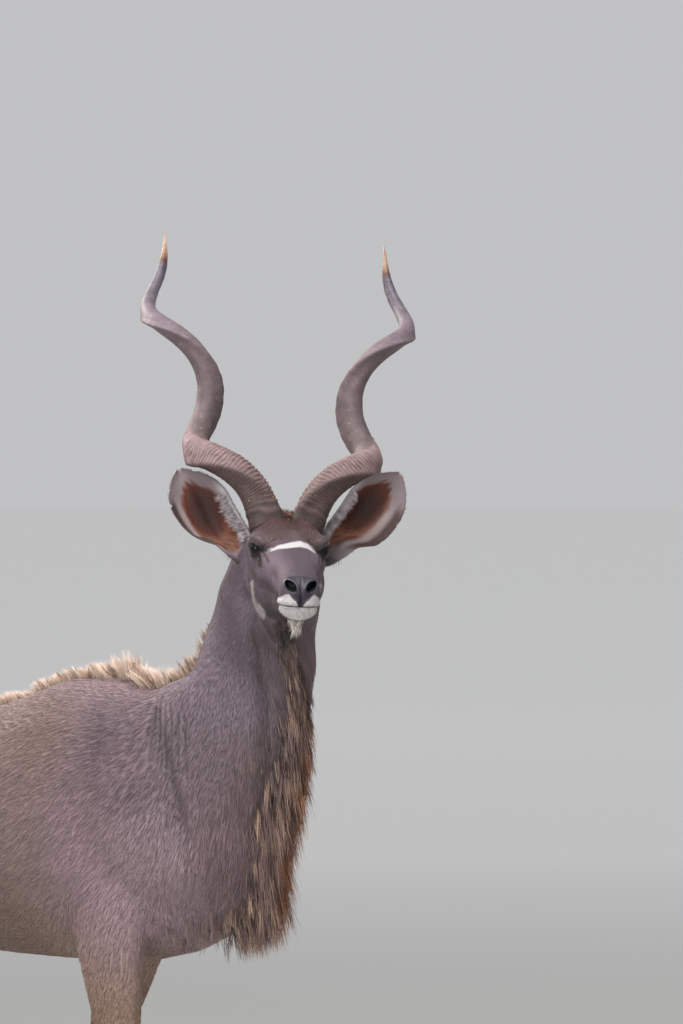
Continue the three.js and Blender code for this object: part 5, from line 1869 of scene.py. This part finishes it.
spiral_horn = horn_material()
for horn in horns:
    horn.data.materials.append(spiral_horn)
print("tones up the horn:", len(HORN_TONES))

# %% [markdown]
# Each foot has two claws of black horn. The wall is steep and smooth with faint growth rings that
# run level, the toe is pointed, the sole flat and a little narrower, and the coronet on top is hidden
# under the hair of the pastern. A claw is a stack of outlines, blunter at the heel than at the toe.
# One formula makes all eight, mirrored left and right.

# %% Hooves
HOOF_HEIGHT, HOOF_LENGTH, HOOF_WIDTH = 62.0, 47.0, 18.2
LEG_OUT, CLAW_OUT = 138.0, 20.5
HOOF_AHEAD = 50  # mm from a leg's own place to the middle of its claws
FOOT_AT = {"fore_right": 128, "fore_left": -222, "hind_right": -1066, "hind_left": -978}
HOOF_SIDES = 40


def claw(name, foot, left, outward):
    height = np.array([0, 0, 1.5, 8, 16, 24, 32, 40, 48, 56, 61, 61])
    share = height / HOOF_HEIGHT
    size = np.interp(share, [0, 0.6, 1], [1, 0.86, 0.68]) * np.array([0.02, 0.94, 0.985] + [1] * 8 + [0.02])
    size = size + 0.006 * np.sin(height * 0.9) * (height > 8)
    lean = np.interp(share, [0, 0.6, 1], [0, -9, -19])
    angle = np.arange(HOOF_SIDES) / HOOF_SIDES * 2 * math.pi
    fore = np.cos(angle)
    toe = np.maximum(fore, 0)
    half = HOOF_WIDTH * (1 - 0.45 * toe**3) * np.sin(angle)
    ahead = foot + HOOF_AHEAD + lean[:, None] + HOOF_LENGTH * size[:, None] * fore
    aside = left * LEG_OUT + outward * (CLAW_OUT - 3 * toe**2) + size[:, None] * half
    spots = np.stack([ahead, aside, np.broadcast_to(height[:, None], ahead.shape)], axis=2)
    faces = tube_faces(len(height), HOOF_SIDES)[:, ::-1]
    piece = new_piece(f"claw_{name}", on_body(spots.reshape(-1, 3)), faces)
    closed = bmesh.new()
    closed.from_mesh(piece.data)
    bmesh.ops.holes_fill(closed, edges=closed.edges)
    bmesh.ops.recalc_face_normals(closed, faces=closed.faces)
    closed.to_mesh(piece.data)
    closed.free()
    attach(piece, "root")
    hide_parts(f"hoof_{name}")
    return piece


# Claw horn is nearly black, hard and smooth, with a low shine over faint level rings and some dust.
material, tree, shader = recipe("claw_horn")
place = add(tree, "TexCoord").outputs["Object"]
height = add(tree, "SeparateXYZ", {"Vector": place}).outputs["Z"]
wobble = own_scale(tree, 60)
level = add(tree, "Math", {0: wobble, 1: 0.006, 2: height}, operation="MULTIPLY_ADD")
rings = add(tree, "Math", {0: level, 1: 1500.0}, operation="MULTIPLY")
rings = add(tree, "Math", {0: rings}, operation="SINE")
dust = own_scale(tree, 35, 6.0)
tone = mix(tree, dust, linear("#1f1a19"), linear("#57483f"))
bump = add(tree, "Bump", {"Height": rings, "Strength": 0.25, "Distance": 0.001})
set_all(tree, shader, Base_Color=tone, Roughness=0.46, Normal=bump)
for foot_name, foot in FOOT_AT.items():
    left = 1 if foot_name.endswith("left") else -1
    for side, outward in (("outer", left), ("inner", -left)):
        claw(f"{foot_name}_{side}", foot, left, outward).data.materials.append(material)
print("claws: 8")

# %% [markdown]
# The floor is one wide, flat, pale sheet. The lamps light only its middle, so its tone is a little
# deeper there and paler far out, and it meets the pale light around it without a hard line. A curved
# backdrop would turn dark where it rises away from the lamps.

# %% The floor
FLOOR_ROWS = np.array([0.01, 3, 6, 9, 13, 20, 30, 60, 150, 400])  # m from the middle
FLOOR_SIDES = 96
turn = np.arange(FLOOR_SIDES) / FLOOR_SIDES * 2 * math.pi
rings = np.stack([np.cos(turn), np.sin(turn), 0 * turn], 1) * FLOOR_ROWS[:, None, None]
floor = new_piece("floor", rings.reshape(-1, 3), tube_faces(len(FLOOR_ROWS), FLOOR_SIDES)[:, ::-1])
attribute(floor, "far", ramp(np.repeat(FLOOR_ROWS, FLOOR_SIDES), 4, 25))
# The floor looks like matt paper and takes a soft shadow of the bull.
floor_material, tree, shader = recipe("studio_floor")
far = stored(tree, "far")
tone = mix(tree, far, linear("#a6a5a2"), linear("#fcfcfb"))
set_all(tree, shader, Base_Color=tone, Roughness=0.8)
floor.data.materials.append(floor_material)
floor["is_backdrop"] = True
print("the floor reaches", FLOOR_ROWS[-1], "m from the middle")

# %% [markdown]
# The photograph has soft daylight, with a brighter edge from behind on the left. A large lamp overhead
# stands for the sky, a second one lifts the shadows of the face, and a small warm one behind draws
# the pale edge along the mane and the ears. The world around gives the rest.

# %% Light
SKY_COLOUR, SKY_STRENGTH = (0.86, 0.865, 0.88, 1), 0.62
LAMPS = [  # away from the camera, to its right and up from the chest in m, then size, watts, colour
    ("sky", -3.0, -1.5, 8.5, 5.0, 1100, (1, 1, 1)),
    ("front", -9.0, -4, 2.5, 4.5, 470, (1, 1, 1)),
    ("rim", 4.5, -4.5, 4.0, 3.0, 420, (1, 0.94, 0.87)),
]
world = bpy.data.worlds.new("world")
bpy.context.scene.world = world
world.use_nodes = True
world.node_tree.nodes["Background"].inputs["Color"].default_value = SKY_COLOUR
world.node_tree.nodes["Background"].inputs["Strength"].default_value = SKY_STRENGTH
chest = on_body([300, 0, 1400])
for name, away, right, up, size, power, colour in LAMPS:
    data = bpy.data.lights.new(name, "AREA")
    data.size = size
    data.energy = power
    data.color = colour
    lamp = bpy.data.objects.new(name, data)
    bpy.context.scene.collection.objects.link(lamp)
    spot = chest + view_way * away + right_way * right + np.array([0, 0, up])
    aimed = Vector(chest - spot).to_track_quat("-Z", "Y").to_matrix().to_4x4()
    lamp.matrix_world = Matrix.Translation(Vector(spot)) @ aimed
bpy.context.scene.view_settings.view_transform = "Standard"
print("lamps:", len(LAMPS))

# %% [markdown]
# Last, the faces of all the meshes are counted and the size of the visual is measured.

# %% Measure and finish
triangles = sum(len(piece.data.polygons) for piece in bpy.data.objects if piece.type == "MESH")
print("faces of the pieces, the solids and the floor together:", triangles)
low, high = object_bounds()
